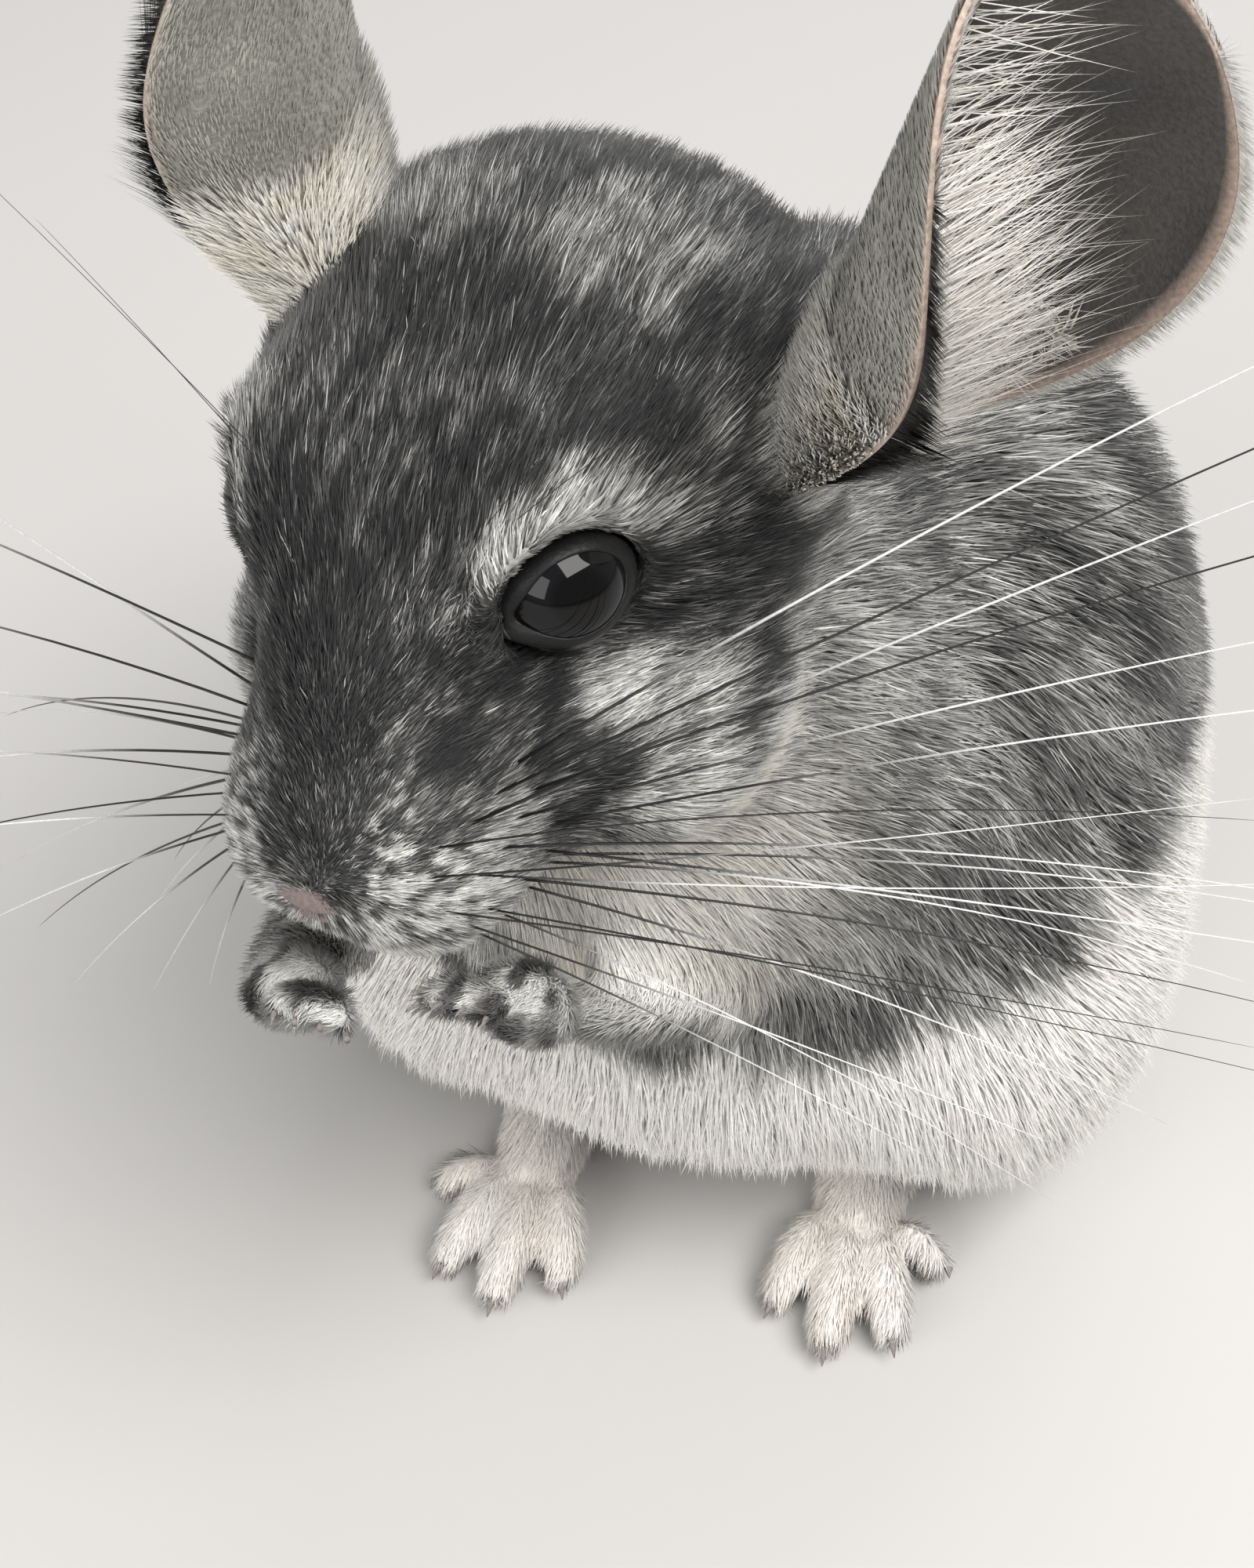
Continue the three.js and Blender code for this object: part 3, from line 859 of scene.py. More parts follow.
@dataclass(frozen=True)
class Finish:
    """A finish with fine grain; its colour is the Coat attribute, or one colour. Lengths in metres."""

    name: str
    roughness: float
    colour: tuple = None
    grain: float = 0.0005
    strength: float = 0.5
    bump: float = 0.0
    specular: float = 0.3
    sheen: float = 0.0
    ior: float = 1.5

    def material(self) -> bpy.types.Material:
        """Makes the material, or finds it where it is made already."""
        if self.name in bpy.data.materials:
            return bpy.data.materials[self.name]
        material = bpy.data.materials.new(self.name)
        material.use_nodes = True
        nodes, links = material.node_tree.nodes, material.node_tree.links
        shader = nodes["Principled BSDF"]
        shader.inputs["Roughness"].default_value = self.roughness
        shader.inputs["IOR"].default_value = self.ior
        shader.inputs["Specular IOR Level"].default_value = self.specular
        shader.inputs["Sheen Weight"].default_value = self.sheen
        base = shader.inputs["Base Color"]
        if self.grain:
            group = nodes.new("ShaderNodeGroup")
            group.node_tree = grain_group()
            group.inputs["Size"].default_value = self.grain
            group.inputs["Strength"].default_value = self.strength
            links.new(group.outputs["Colour"], base)
            base = group.inputs["Colour"]
        if self.colour:
            base.default_value = (*self.colour, 1)
        else:
            painted = nodes.new("ShaderNodeAttribute")
            painted.attribute_name = "Coat"
            links.new(painted.outputs["Color"], base)
        if self.bump:
            bump = nodes.new("ShaderNodeBump")
            bump.inputs["Strength"].default_value = self.strength
            bump.inputs["Distance"].default_value = self.bump
            links.new(group.outputs["Height"], bump.inputs["Height"])
            links.new(bump.outputs["Normal"], shader.inputs["Normal"])
        return material


@dataclass(frozen=True)
class Leather(Finish):
    """Bare skin or horn of one colour, with fine pores."""

    bump: float = 0.00015


@dataclass(frozen=True)
class EyeGlass(Finish):
    """The eye: dark iris under a wet clear front."""

    roughness: float = 0.04
    grain: float = 0.0
    ior: float = 1.45


@dataclass(frozen=True)
class PaintedSkin(Finish):
    """Skin or ear leather, coloured by the Coat attribute."""

    strength: float = 0.6
    specular: float = 0.5


@dataclass(frozen=True)
class Hair(Finish):
    """Hair in tufts or single, coloured by the Coat attribute."""

    roughness: float = 0.62
    grain: float = 0.0004
    strength: float = 0.35
    sheen: float = 0.12


def grain_group() -> bpy.types.NodeTree:
    """The grain shared by skin and hair: a fine variation of colour and height.

    Returns:
        The node group, built once.
    """
    if "Grain" in bpy.data.node_groups:
        return bpy.data.node_groups["Grain"]
    tree = bpy.data.node_groups.new("Grain", "ShaderNodeTree")
    tree.interface.new_socket("Colour", in_out="INPUT", socket_type="NodeSocketColor")
    tree.interface.new_socket("Size", in_out="INPUT", socket_type="NodeSocketFloat")
    tree.interface.new_socket("Strength", in_out="INPUT", socket_type="NodeSocketFloat")
    tree.interface.new_socket("Colour", in_out="OUTPUT", socket_type="NodeSocketColor")
    tree.interface.new_socket("Height", in_out="OUTPUT", socket_type="NodeSocketFloat")
    nodes, links = tree.nodes, tree.links
    source = nodes.new("NodeGroupInput")
    target = nodes.new("NodeGroupOutput")
    place = nodes.new("ShaderNodeTexCoord")
    scale = nodes.new("ShaderNodeMath")
    scale.operation = "DIVIDE"
    scale.inputs[0].default_value = 1.0
    links.new(source.outputs["Size"], scale.inputs[1])
    noise = nodes.new("ShaderNodeTexNoise")
    noise.inputs["Detail"].default_value = 3.0
    links.new(place.outputs["Object"], noise.inputs["Vector"])
    links.new(scale.outputs[0], noise.inputs["Scale"])
    spread = nodes.new("ShaderNodeMapRange")
    spread.inputs["From Min"].default_value = 0.25
    spread.inputs["From Max"].default_value = 0.75
    spread.inputs["To Min"].default_value = -0.5
    spread.inputs["To Max"].default_value = 0.5
    links.new(noise.outputs["Fac"], spread.inputs["Value"])
    strong = nodes.new("ShaderNodeMath")
    strong.operation = "MULTIPLY_ADD"
    strong.inputs[2].default_value = 1.0
    links.new(spread.outputs["Result"], strong.inputs[0])
    links.new(source.outputs["Strength"], strong.inputs[1])
    tint = nodes.new("ShaderNodeVectorMath")
    tint.operation = "SCALE"
    links.new(source.outputs["Colour"], tint.inputs[0])
    links.new(strong.outputs[0], tint.inputs["Scale"])
    links.new(tint.outputs["Vector"], target.inputs["Colour"])
    links.new(noise.outputs["Fac"], target.inputs["Height"])
    return tree


@dataclass
class Skin:
    """One skin over the whole body, under the coat by the coat's depth; lengths in mm."""

    voxel: float = 1.35
    swell: float = 0.45
    rounds: int = 6
    piece: bpy.types.Object = None
    surface: Surface = None
    normals: Array = None
    share: Array = None
    lie: dict = field(default_factory=dict)
    flow: Array = None

    def build(self) -> None:
        """Joins the solids to one skin, sinks it by the coat's depth and opens it round the eyes."""
        tree_points, tree_faces, owner = [], [], []
        coarse, fine = [], []
        for number, name in enumerate(FLESH):
            surface = Surface(self.copied(name))
            start = sum(len(p) for p in tree_points)
            tree_points.append(surface.points)
            tree_faces.append(surface.faces + start)
            owner += [number] * len(surface.faces)
            bpy.data.objects.remove(bpy.context.object)
            small = name.startswith(("hind_foot", "paw"))
            coarse.append(self.swollen(name, -0.7 if small else self.swell))
            if small:
                fine.append(self.swollen(name, 0.12))
        skin = self.remeshed(coarse, self.voxel, self.rounds)
        body_count = len(skin.data.vertices)
        feet = self.remeshed(fine, 0.55, 4)
        joined([skin, feet])
        skin.name = "skin"
        skin.data.name = "skin"
        self.piece = skin
        surface = Surface(skin)
        tree = BVHTree.FromPolygons(
            [Vector(p) for p in np.concatenate(tree_points)], np.concatenate(tree_faces).tolist()
        )
        owner = np.array(owner)
        nearest = np.array([owner[tree.find_nearest(Vector(p))[2]] for p in surface.points])
        share = np.zeros((len(surface.points), len(FLESH)))
        share[np.arange(len(nearest)), nearest] = 1
        self.share = surface.smoothed(share, 10)
        soft = surface.smoothed(share, 45)
        for key in LIE_KEYS:
            self.lie[key] = soft @ np.array([getattr(COAT[name], key) for name in FLESH])
        self.grade_head(surface)
        small = [FLESH.index(name) for name in FLESH if name.startswith(("hind_foot", "paw"))]
        core = np.isin(nearest, small) & (np.arange(len(nearest)) < body_count)
        self.lie["density"][core] = 0.0
        sink = self.lie["depth"] + self.swell * 0.6
        sink[body_count:] = 0.45
        normals = surface.normals()
        surface.points = surface.points - normals * sink[:, None]
        surface.points = surface.smoothed(surface.points, 4)
        self.hollow_eyes(surface)
        surface.points[:, 2] = np.maximum(surface.points[:, 2], 0.25 - SHIFT[2])
        place_vertices(skin, surface.points)
        self.surface = surface
        self.normals = surface.normals()
        self.flow = self.comb(surface)

    def copied(self, name: str) -> bpy.types.Object:
        """Copies one solid, with its doubles merged."""
        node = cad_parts[name]
        copy = node.copy()
        copy.data = node.data.copy()
        copy.parent = None
        copy.matrix_world = node.matrix_world
        bpy.context.scene.collection.objects.link(copy)
        settle(copy)
        edit_all(copy, bpy.ops.mesh.remove_doubles, threshold=0.00001)
        copy.data.materials.clear()
        return copy

    def swollen(self, name: str, by: float) -> bpy.types.Object:
        """Copies one solid and moves its surface outwards.

        Args:
            name: The solid.
            by: How far, in mm.

        Returns:
            The copy.
        """
        copy = self.copied(name)
        surface = Surface(copy)
        place_vertices(copy, surface.points + surface.normals() * by)
        return copy

    def remeshed(self, copies: list, voxel: float, rounds: int) -> bpy.types.Object:
        """Joins solids and melts them to one closed surface.

        Args:
            copies: The solids' copies.
            voxel: Size of the surface's squares in mm.
            rounds: How often it is smoothed.

        Returns:
            The melted surface.
        """
        melted = joined(copies)
        apply_modifier(melted, "REMESH", mode="VOXEL", voxel_size=voxel * MM, use_smooth_shade=True)
        apply_modifier(melted, "SMOOTH", factor=0.5, iterations=rounds)
        return melted

    def grade_head(self, surface: Surface) -> None:
        """Grades the head's coat from the short face to the longer crown."""
        spot = POSE.to_head(surface.points)
        head = np.clip(self.share[:, FLESH.index("head")] + self.share[:, FLESH.index("muzzle")], 0, 1)
        away = np.linalg.norm(spot - np.array([0.0, -38.0, -5.0]), axis=1)
        grow = ramp(away, 8.0, 62.0)
        length = 1.7 + 2.5 * grow
        self.lie["length"] = self.lie["length"] * (1 - head) + length * head
        self.lie["depth"] = self.lie["depth"] * (1 - head) + (0.7 + 1.4 * grow) * head
        for side in Side:
            brow = np.array([16.5 * side.value, -3.0, 16.0])
            self.lie["depth"] -= 1.6 * np.exp(-((np.linalg.norm(spot - brow, axis=1) / 7.0) ** 2)) * head
        self.lie["width"] = self.lie["width"] * (1 - head) + (0.18 + 0.09 * grow) * head
        self.lie["density"] = self.lie["density"] * (1 - head) + (19.0 - 9.5 * grow) * head

    def hollow_eyes(self, surface: Surface) -> None:
        """Draws the skin back from each eyeball so that it ends under the lids."""
        for side in Side:
            centre = EYES.centre(side)
            out, corner, across = EYES.axes(side)
            away = surface.points - centre
            high = away @ out
            wide = np.hypot(away @ corner / 1.06, away @ across / 0.88)
            cap = np.interp(wide, [0.0, 4.6, 5.8, 7.2, 8.4], [-1.0, 0.0, 3.0, 5.6, 30.0])
            near = (wide < 8.4) & (high > cap) & (high < 14)
            surface.points[near] -= ((high - cap)[:, None] * out)[near]

    def comb(self, surface: Surface) -> Array:
        """The lie of the hair at each vertex.

        Args:
            surface: The skin's surface.

        Returns:
            Unit vectors along the skin.
        """
        points = surface.points
        spot = POSE.to_head(points)
        nose = np.array([0.0, -40.0, -4.0])
        head_flow = spot - nose
        head_flow[:, 2] *= 0.9
        for side in Side:
            eye = np.array(POSE.eye_at) * np.array([side.value, 1, 1])
            near = np.exp(-((np.linalg.norm(spot - eye, axis=1) / 11.0) ** 2))
            head_flow += 20 * near[:, None] * unit(spot - eye)
        head_flow = POSE.turn_from_head(unit(head_flow))
        down = np.tile(np.array([0.0, 0.45, -0.89]), (len(points), 1))
        outward = unit(points * np.array([1.0, 1.0, 0.0]) + np.array([8.0, 10.0, 0.0]))
        down = unit(down + 0.15 * outward)
        ring_centre = np.array([-47.0, 62.0, 0.0])
        spoke = points * np.array([1.0, 1.0, 0.0]) - ring_centre
        tail_flow = unit(np.stack([-spoke[:, 1], spoke[:, 0], np.zeros(len(points))], axis=1))
        foot_flow = np.tile(np.array([0.0, -0.97, -0.25]), (len(points), 1))
        flow = np.zeros_like(points)
        for number, name in enumerate(FLESH):
            here = self.share[:, number : number + 1]
            if name in ("head", "muzzle"):
                flow += here * head_flow
            elif name == "tail":
                flow += here * tail_flow
            elif name.startswith("hind_foot"):
                flow += here * foot_flow
            elif name.startswith(("fore_leg", "paw")):
                flow += here * unit(np.array([-0.1, -0.8, 0.55]))
            elif name == "neck":
                flow += here * unit(0.5 * head_flow + 0.5 * down)
            else:
                flow += here * down
        for _ in range(3):
            flow = surface.smoothed(flow, 12)
            flow -= self.normals * (flow * self.normals).sum(1)[:, None]
            flow = unit(flow)
        return flow

    def dress(self) -> None:
        """Paints the markings on the skin, darkened by the painted shade of the hair roots, joins the ears
        to it and gives it its materials.
        """
        tips, roots = MARKINGS.colour(self.surface.points, self.share)
        # Skin colour halfway between tip and root colours, so it carries the painted shade among the hairs.
        paint(self.piece, 0.5 * tips + 0.5 * roots)
        self.piece.data.materials.append(PaintedSkin("hide", 0.75, grain=0.0006, bump=0.0003).material())
        parts = [self.piece]
        for sheet in EARS.values():
            ear = sheet.build()
            paint(ear, sheet.colours(vertices_of(ear)))
            ear.data.materials.append(PaintedSkin("ear_leather", 0.6, bump=0.0002).material())
            parts.append(ear)
        only(joined(parts))
        bpy.ops.object.shade_smooth()
        fix(self.piece, "grey_fur", *FLESH, "ear_left", "ear_right")


@dataclass
class Roots:
    """Where hairs stand: one row for each tuft, lengths in mm, lean in degrees."""

    place: Array
    normal: Array
    flow: Array
    length: Array
    width: Array
    lean: Array
    tip: Array
    base: Array

    def picked(self, keep: Array) -> "Roots":
        """Some of the roots.

        Args:
            keep: A mask or row numbers.

        Returns:
            Those roots.
        """
        return Roots(*(getattr(self, key)[keep] for key in self.__dataclass_fields__))


class Tuft(Enum):
    """How finely one tuft is made; the value is its rings between root and tip."""

    STRAIGHT = 0
    BENT = 1


def grow_tufts(name: str, roots: Roots, tuft: Tuft, patch: Array) -> bpy.types.Object:
    """Makes one joined mesh of tufts.

    Args:
        name: The piece's name.
        roots: Where the tufts stand and how they lie.
        tuft: How finely each is made.
        patch: The place of each tuft on the unwrap, 0 to 1.

    Returns:
        The tufts as one object with the Coat attribute and the OFBake map.
    """
    count = len(roots.place)
    rings = tuft.value + 1
    across = unit(np.cross(roots.normal, roots.flow))
    corners = 3
    centre = roots.place.copy()
    points, shade, normals, maps = [], [], [], []
    angles = np.radians(np.array([90.0, 210.0, 330.0]))
    lean = np.radians(roots.lean)
    step = roots.length / (rings)
    turn = np.array([np.cos(angles), np.sin(angles)]).T
    for ring in range(rings):
        along = ring / rings
        thin = 1.0 - 0.45 * along**1.5
        bend = lean * (1 - (1 - LEAN_AT_TIP) * along)
        heading = roots.flow * np.cos(bend)[:, None] + roots.normal * np.sin(bend)[:, None]
        up = roots.normal * np.cos(bend)[:, None] - roots.flow * np.sin(bend)[:, None]
        for corner in range(corners):
            across_by = turn[corner, 0] * roots.width * 0.58 * thin
            up_by = turn[corner, 1] * roots.width * 0.34 * thin
            sunk = roots.normal * (ROOT_SUNK if ring == 0 else 0)
            points.append(centre + across * across_by[:, None] + up * up_by[:, None] - sunk)
            # Colour runs from the root colour, darkened partly as painted shade among the hairs, to the tip
            # colour.
            shade.append(mix(roots.base, roots.tip, np.full(count, along**0.8)))
            rounded = up * turn[corner, 1] * 0.6 + across * turn[corner, 0] * 0.9
            normals.append(unit(roots.normal * 1.6 + rounded))
            size = PATCH_RADIUS * (1 - 0.8 * along)
            maps.append(patch + size * turn[corner])
        centre = centre + heading * step[:, None]
    points.append(centre)
    shade.append(roots.tip)
    normals.append(unit(roots.normal * 1.6 + roots.flow * 0.5))
    maps.append(patch)
    per = rings * corners + 1
    points = np.stack(points, axis=1).reshape(-1, 3)
    shade = np.stack(shade, axis=1).reshape(-1, 3)
    normals = np.stack(normals, axis=1).reshape(-1, 3)
    maps = np.stack(maps, axis=1).reshape(-1, 2)
    one = [[0, 2, 1]]
    for ring in range(rings - 1):
        low, high = ring * corners, (ring + 1) * corners
        for corner in range(corners):
            following = (corner + 1) % corners
            one.append([low + corner, low + following, high + following])
            one.append([low + corner, high + following, high + corner])
    low = (rings - 1) * corners
    for corner in range(corners):
        one.append([low + corner, low + (corner + 1) % corners, per - 1])
    faces = (np.array(one)[None] + (np.arange(count) * per)[:, None, None]).reshape(-1, 3)
    piece = triangle_mesh(name, points, faces)
    paint(piece, shade)
    map_bake(piece, maps, faces)
    piece.data.normals_split_custom_set_from_vertices(normals)
    return piece


def unwrap(points: Array, centre: Array, axis: Array) -> Array:
    """Lays places round a middle out flat, by longitude and latitude, filling the unit square.

    Args:
        points: Places in mm.
        centre: The middle.
        axis: The pole's direction.

    Returns:
        Two numbers from 0 to 1 in each row.
    """
    axis = unit(np.array(axis, float))
    side = unit(np.cross(axis, [0.31, 0.9, 0.2]))
    third = np.cross(axis, side)
    away = unit(points - centre)
    middle = unit(away.mean(0)[None])[0]
    start = math.atan2(middle @ third, middle @ side)
    longitude = np.arctan2(away @ third, away @ side) - start
    longitude = (longitude + np.pi) % (2 * np.pi)
    laid = np.stack([longitude, np.arcsin(np.clip(away @ axis, -1, 1))], axis=1)
    low, high = laid.min(0), laid.max(0)
    return 0.003 + 0.994 * (laid - low) / np.maximum(high - low, 1e-6)


@dataclass
class Coat:
    """All the tufts over the skin."""

    skin: Skin
    most_faces: int = 196000
    faces_each: int = 4

    def roots(self, wanted: list, rng: np.random.Generator) -> Roots:
        """Picks places for tufts on some regions of the skin.

        Args:
            wanted: Names of the regions.
            rng: The seeded source of chance.

        Returns:
            The roots.
        """
        skin = self.skin
        surface = skin.surface
        columns = [FLESH.index(name) for name in wanted]
        belongs = np.isin(np.argmax(skin.share, axis=1), columns)
        faces = surface.faces[belongs[surface.faces[:, 0]]]
        corner = [surface.points[faces[:, i]] for i in range(3)]
        area = 0.5 * np.linalg.norm(np.cross(corner[1] - corner[0], corner[2] - corner[0]), axis=1)
        weight = area * skin.lie["density"][faces].mean(1)
        total = np.cumsum(weight)
        count = int(total[-1])
        chosen = np.minimum(np.searchsorted(total, rng.random(count) * total[-1]), len(faces) - 1)
        a, b = rng.random(count), rng.random(count)
        over = a + b > 1
        a[over], b[over] = 1 - a[over], 1 - b[over]
        parts = np.stack([1 - a - b, a, b], axis=1)
        tri = faces[chosen]

        def spread(values: Array) -> Array:
            """Numbers of the vertices, taken to the roots."""
            picked = values[tri]
            if picked.ndim == 3:
                return (picked * parts[:, :, None]).sum(1)
            return (picked * parts).sum(1)

        place = spread(surface.points)
        normal = unit(spread(skin.normals))
        flow = unit(spread(skin.flow))
        wander = rng.normal(0, 0.13, count) + 0.5 * (cloudy(place, 4.5, 71) - 0.5)
        across = unit(np.cross(normal, flow))
        flow = unit(flow + across * wander[:, None])
        share = spread(skin.share)
        length = spread(skin.lie["length"]) * (0.75 + 0.5 * rng.random(count))
        tip, base = MARKINGS.colour(place + flow * 0.65 * length[:, None], share, rng.normal(0, 0.2, count))
        vary = 1 + rng.normal(0, 0.10, count)
        tip = tip * np.clip(vary, 0.6, 1.5)[:, None]
        width = spread(skin.lie["width"]) * (0.8 + 0.4 * rng.random(count))
        lean = spread(skin.lie["lean"]) * (0.7 + 0.6 * rng.random(count))
        roots = Roots(place, normal, flow, length, width, lean, tip, base)
        return self.cleared(roots)

    def cleared(self, roots: Roots) -> Roots:
        """Leaves out tufts that would stand on an eye or lower than 0.5 mm, and lays those round each eye
        shorter, flatter and away from it.

        Args:
            roots: All the roots.

        Returns:
            The roots that stay.
        """
        keep = np.ones(len(roots.place), bool)
        for side in Side:
            centre = EYES.centre(side)
            out, corner, across = EYES.axes(side)
            away = roots.place - centre
            high = away @ out
            along = (away @ corner) / EYES.stretch
            aside = away @ across / 0.86
            wide = np.hypot(along, aside)
            keep &= ~((wide < 5.3) & (high > -3) & (high < 10))
            near = (wide < 10.5) & (high > -4) & (high < 10)
            radial = unit(along[:, None] * corner + aside[:, None] * across)
            pull = np.clip((10.5 - wide) / 4.0, 0, 1) * near
            flow = roots.flow * (1 - 0.75 * pull)[:, None] + radial * (0.75 * pull)[:, None]
            flow -= roots.normal * (flow * roots.normal).sum(1)[:, None]
            roots.flow = unit(flow)
            roots.lean = roots.lean * (1 - 0.45 * pull)
            roots.length = roots.length * (1 - 0.45 * pull)
        keep &= roots.place[:, 2] > 0.5
        return roots.picked(keep)

    def build(self) -> None:
        """Grows the coat, region by region."""
        rng = np.random.default_rng(SEED)
        head_middle = POSE.from_head(np.array([[0.0, 4.0, -2.0]]))[0]
        face_axis = POSE.turn_from_head(np.array([0.0, 0.0, 1.0]))
        regions = [
            ("muzzle", ["muzzle"], head_middle, face_axis),
            ("head", ["head"], head_middle, face_axis),
            ("neck", ["neck"], (-14.0, -42.0, 101.0), UPWARDS),
            ("trunk", ["trunk"], (0.0, -4.0, 56.0), UPWARDS),
            ("haunch_left", ["haunch_left"], (30.0, -14.0, 34.0), UPWARDS),
            ("haunch_right", ["haunch_right"], (-30.0, -14.0, 34.0), UPWARDS),
            ("arms", ["fore_leg_left", "fore_leg_right"], (-13.0, -68.0, 72.0), UPWARDS),
            ("paws", ["paw_left", "paw_right"], (-20.0, -90.0, 86.0), UPWARDS),
            ("feet", ["hind_foot_left", "hind_foot_right"], (0.0, -40.0, 4.0), UPWARDS),
            ("tail", ["tail"], (-35.0, 75.0, 13.0), UPWARDS),
        ]
        total = 0
        limit = self.most_faces // self.faces_each
        for name, wanted, middle, axis in regions:
            roots = self.roots(wanted, rng)
            pieces = -(-len(roots.place) // limit)
            order = np.argsort(roots.place[:, 0], kind="stable")
            for number, chosen in enumerate(np.array_split(order, pieces)):
                part = roots.picked(chosen)
                label = f"coat_{name}" if pieces == 1 else f"coat_{name}_{number + 1}"
                piece = grow_tufts(label, part, Tuft.STRAIGHT, unwrap(part.place, np.array(middle), axis))
                piece.data.materials.append(Hair("fur").material())
                fix(piece, "grey_fur")
                total += len(piece.data.polygons)
        LOG.info("coat: %d faces in all", total)


@dataclass(frozen=True)
class Strand:
    """One long hair: points in the body's mm, radius at the root in mm, colours at root and tip."""

    path: Array
    radius: float
    root: tuple
    tip: tuple
    darken_to: float = 0.0


def curved(start: Array, heading: Array, length: float, sag: float, curl: Array, steps: int = 12) -> Array:
    """A long hair's path that hangs a little.

    Args:
        start: Its root.
        heading: The direction it starts in.
        length: Its length.
        sag: How far the tip sinks, as a share of the length.
        curl: A sideways bend at the tip, as a share of the length.
        steps: Number of pieces.

    Returns:
        The path's points.
    """
    t = np.linspace(0, 1, steps + 1)[:, None]
    heading = unit(heading)
    return start + heading * length * t + (curl * t**2 - np.array([0, 0, sag]) * t**2) * length


def grow_strands(name: str, strands: list, sides: int = 4) -> bpy.types.Object:
    """Makes one joined mesh of long tapering hairs.

    Args:
        name: The piece's name.
        strands: The hairs.
        sides: Corners of each hair's section.

    Returns:
        The hairs as one object.
    """
    points, faces, shade, maps = [], [], [], []
    start = 0
    for index, strand in enumerate(strands):
        path = np.asarray(strand.path)
        steps = len(path) - 1
        tangent = unit(np.gradient(path, axis=0))
        helper = np.array([0.0, 0.0, 1.0]) if abs(tangent[0, 2]) < 0.8 else np.array([0.0, 1.0, 0.0])
        across = unit(np.cross(tangent, helper))
        up = np.cross(across, tangent)
        for ring in range(steps):
            share = ring / steps
            radius = strand.radius * (1 - share) ** 0.75 + 0.02
            pale = ramp(share, strand.darken_to * 0.5, max(strand.darken_to * 1.4, 0.3))
            tint = mix(strand.root, np.array(strand.tip), pale)
            for corner in range(sides):
                turn = 2 * math.pi * corner / sides
                edge = math.cos(turn) * across[ring] + math.sin(turn) * up[ring]
                points.append(path[ring] + radius * edge)
                shade.append(tint)
                maps.append(((index + 0.1 + 0.8 * corner / sides) / len(strands), 0.01 + 0.96 * share))
        points.append(path[-1])
        shade.append(np.array(strand.tip, float))
        maps.append(((index + 0.5) / len(strands), 0.99))
        for ring in range(steps - 1):
            low, high = start + ring * sides, start + (ring + 1) * sides
            for corner in range(sides):
                following = (corner + 1) % sides
                faces.append((low + corner, high + following, low + following))
                faces.append((low + corner, high + corner, high + following))
        low = start + (steps - 1) * sides
        end = start + steps * sides
        for corner in range(sides):
            faces.append((low + corner, end, low + (corner + 1) % sides))
        for corner in range(1, sides - 1):
            faces.append((start, start + corner, start + corner + 1))
        start = end + 1
    piece = triangle_mesh(name, np.array(points), np.array(faces))
    paint(piece, np.array(shade))
    map_bake(piece, np.array(maps), np.array(faces))
    edit_all(piece, bpy.ops.mesh.normals_make_consistent, inside=False)
    return piece


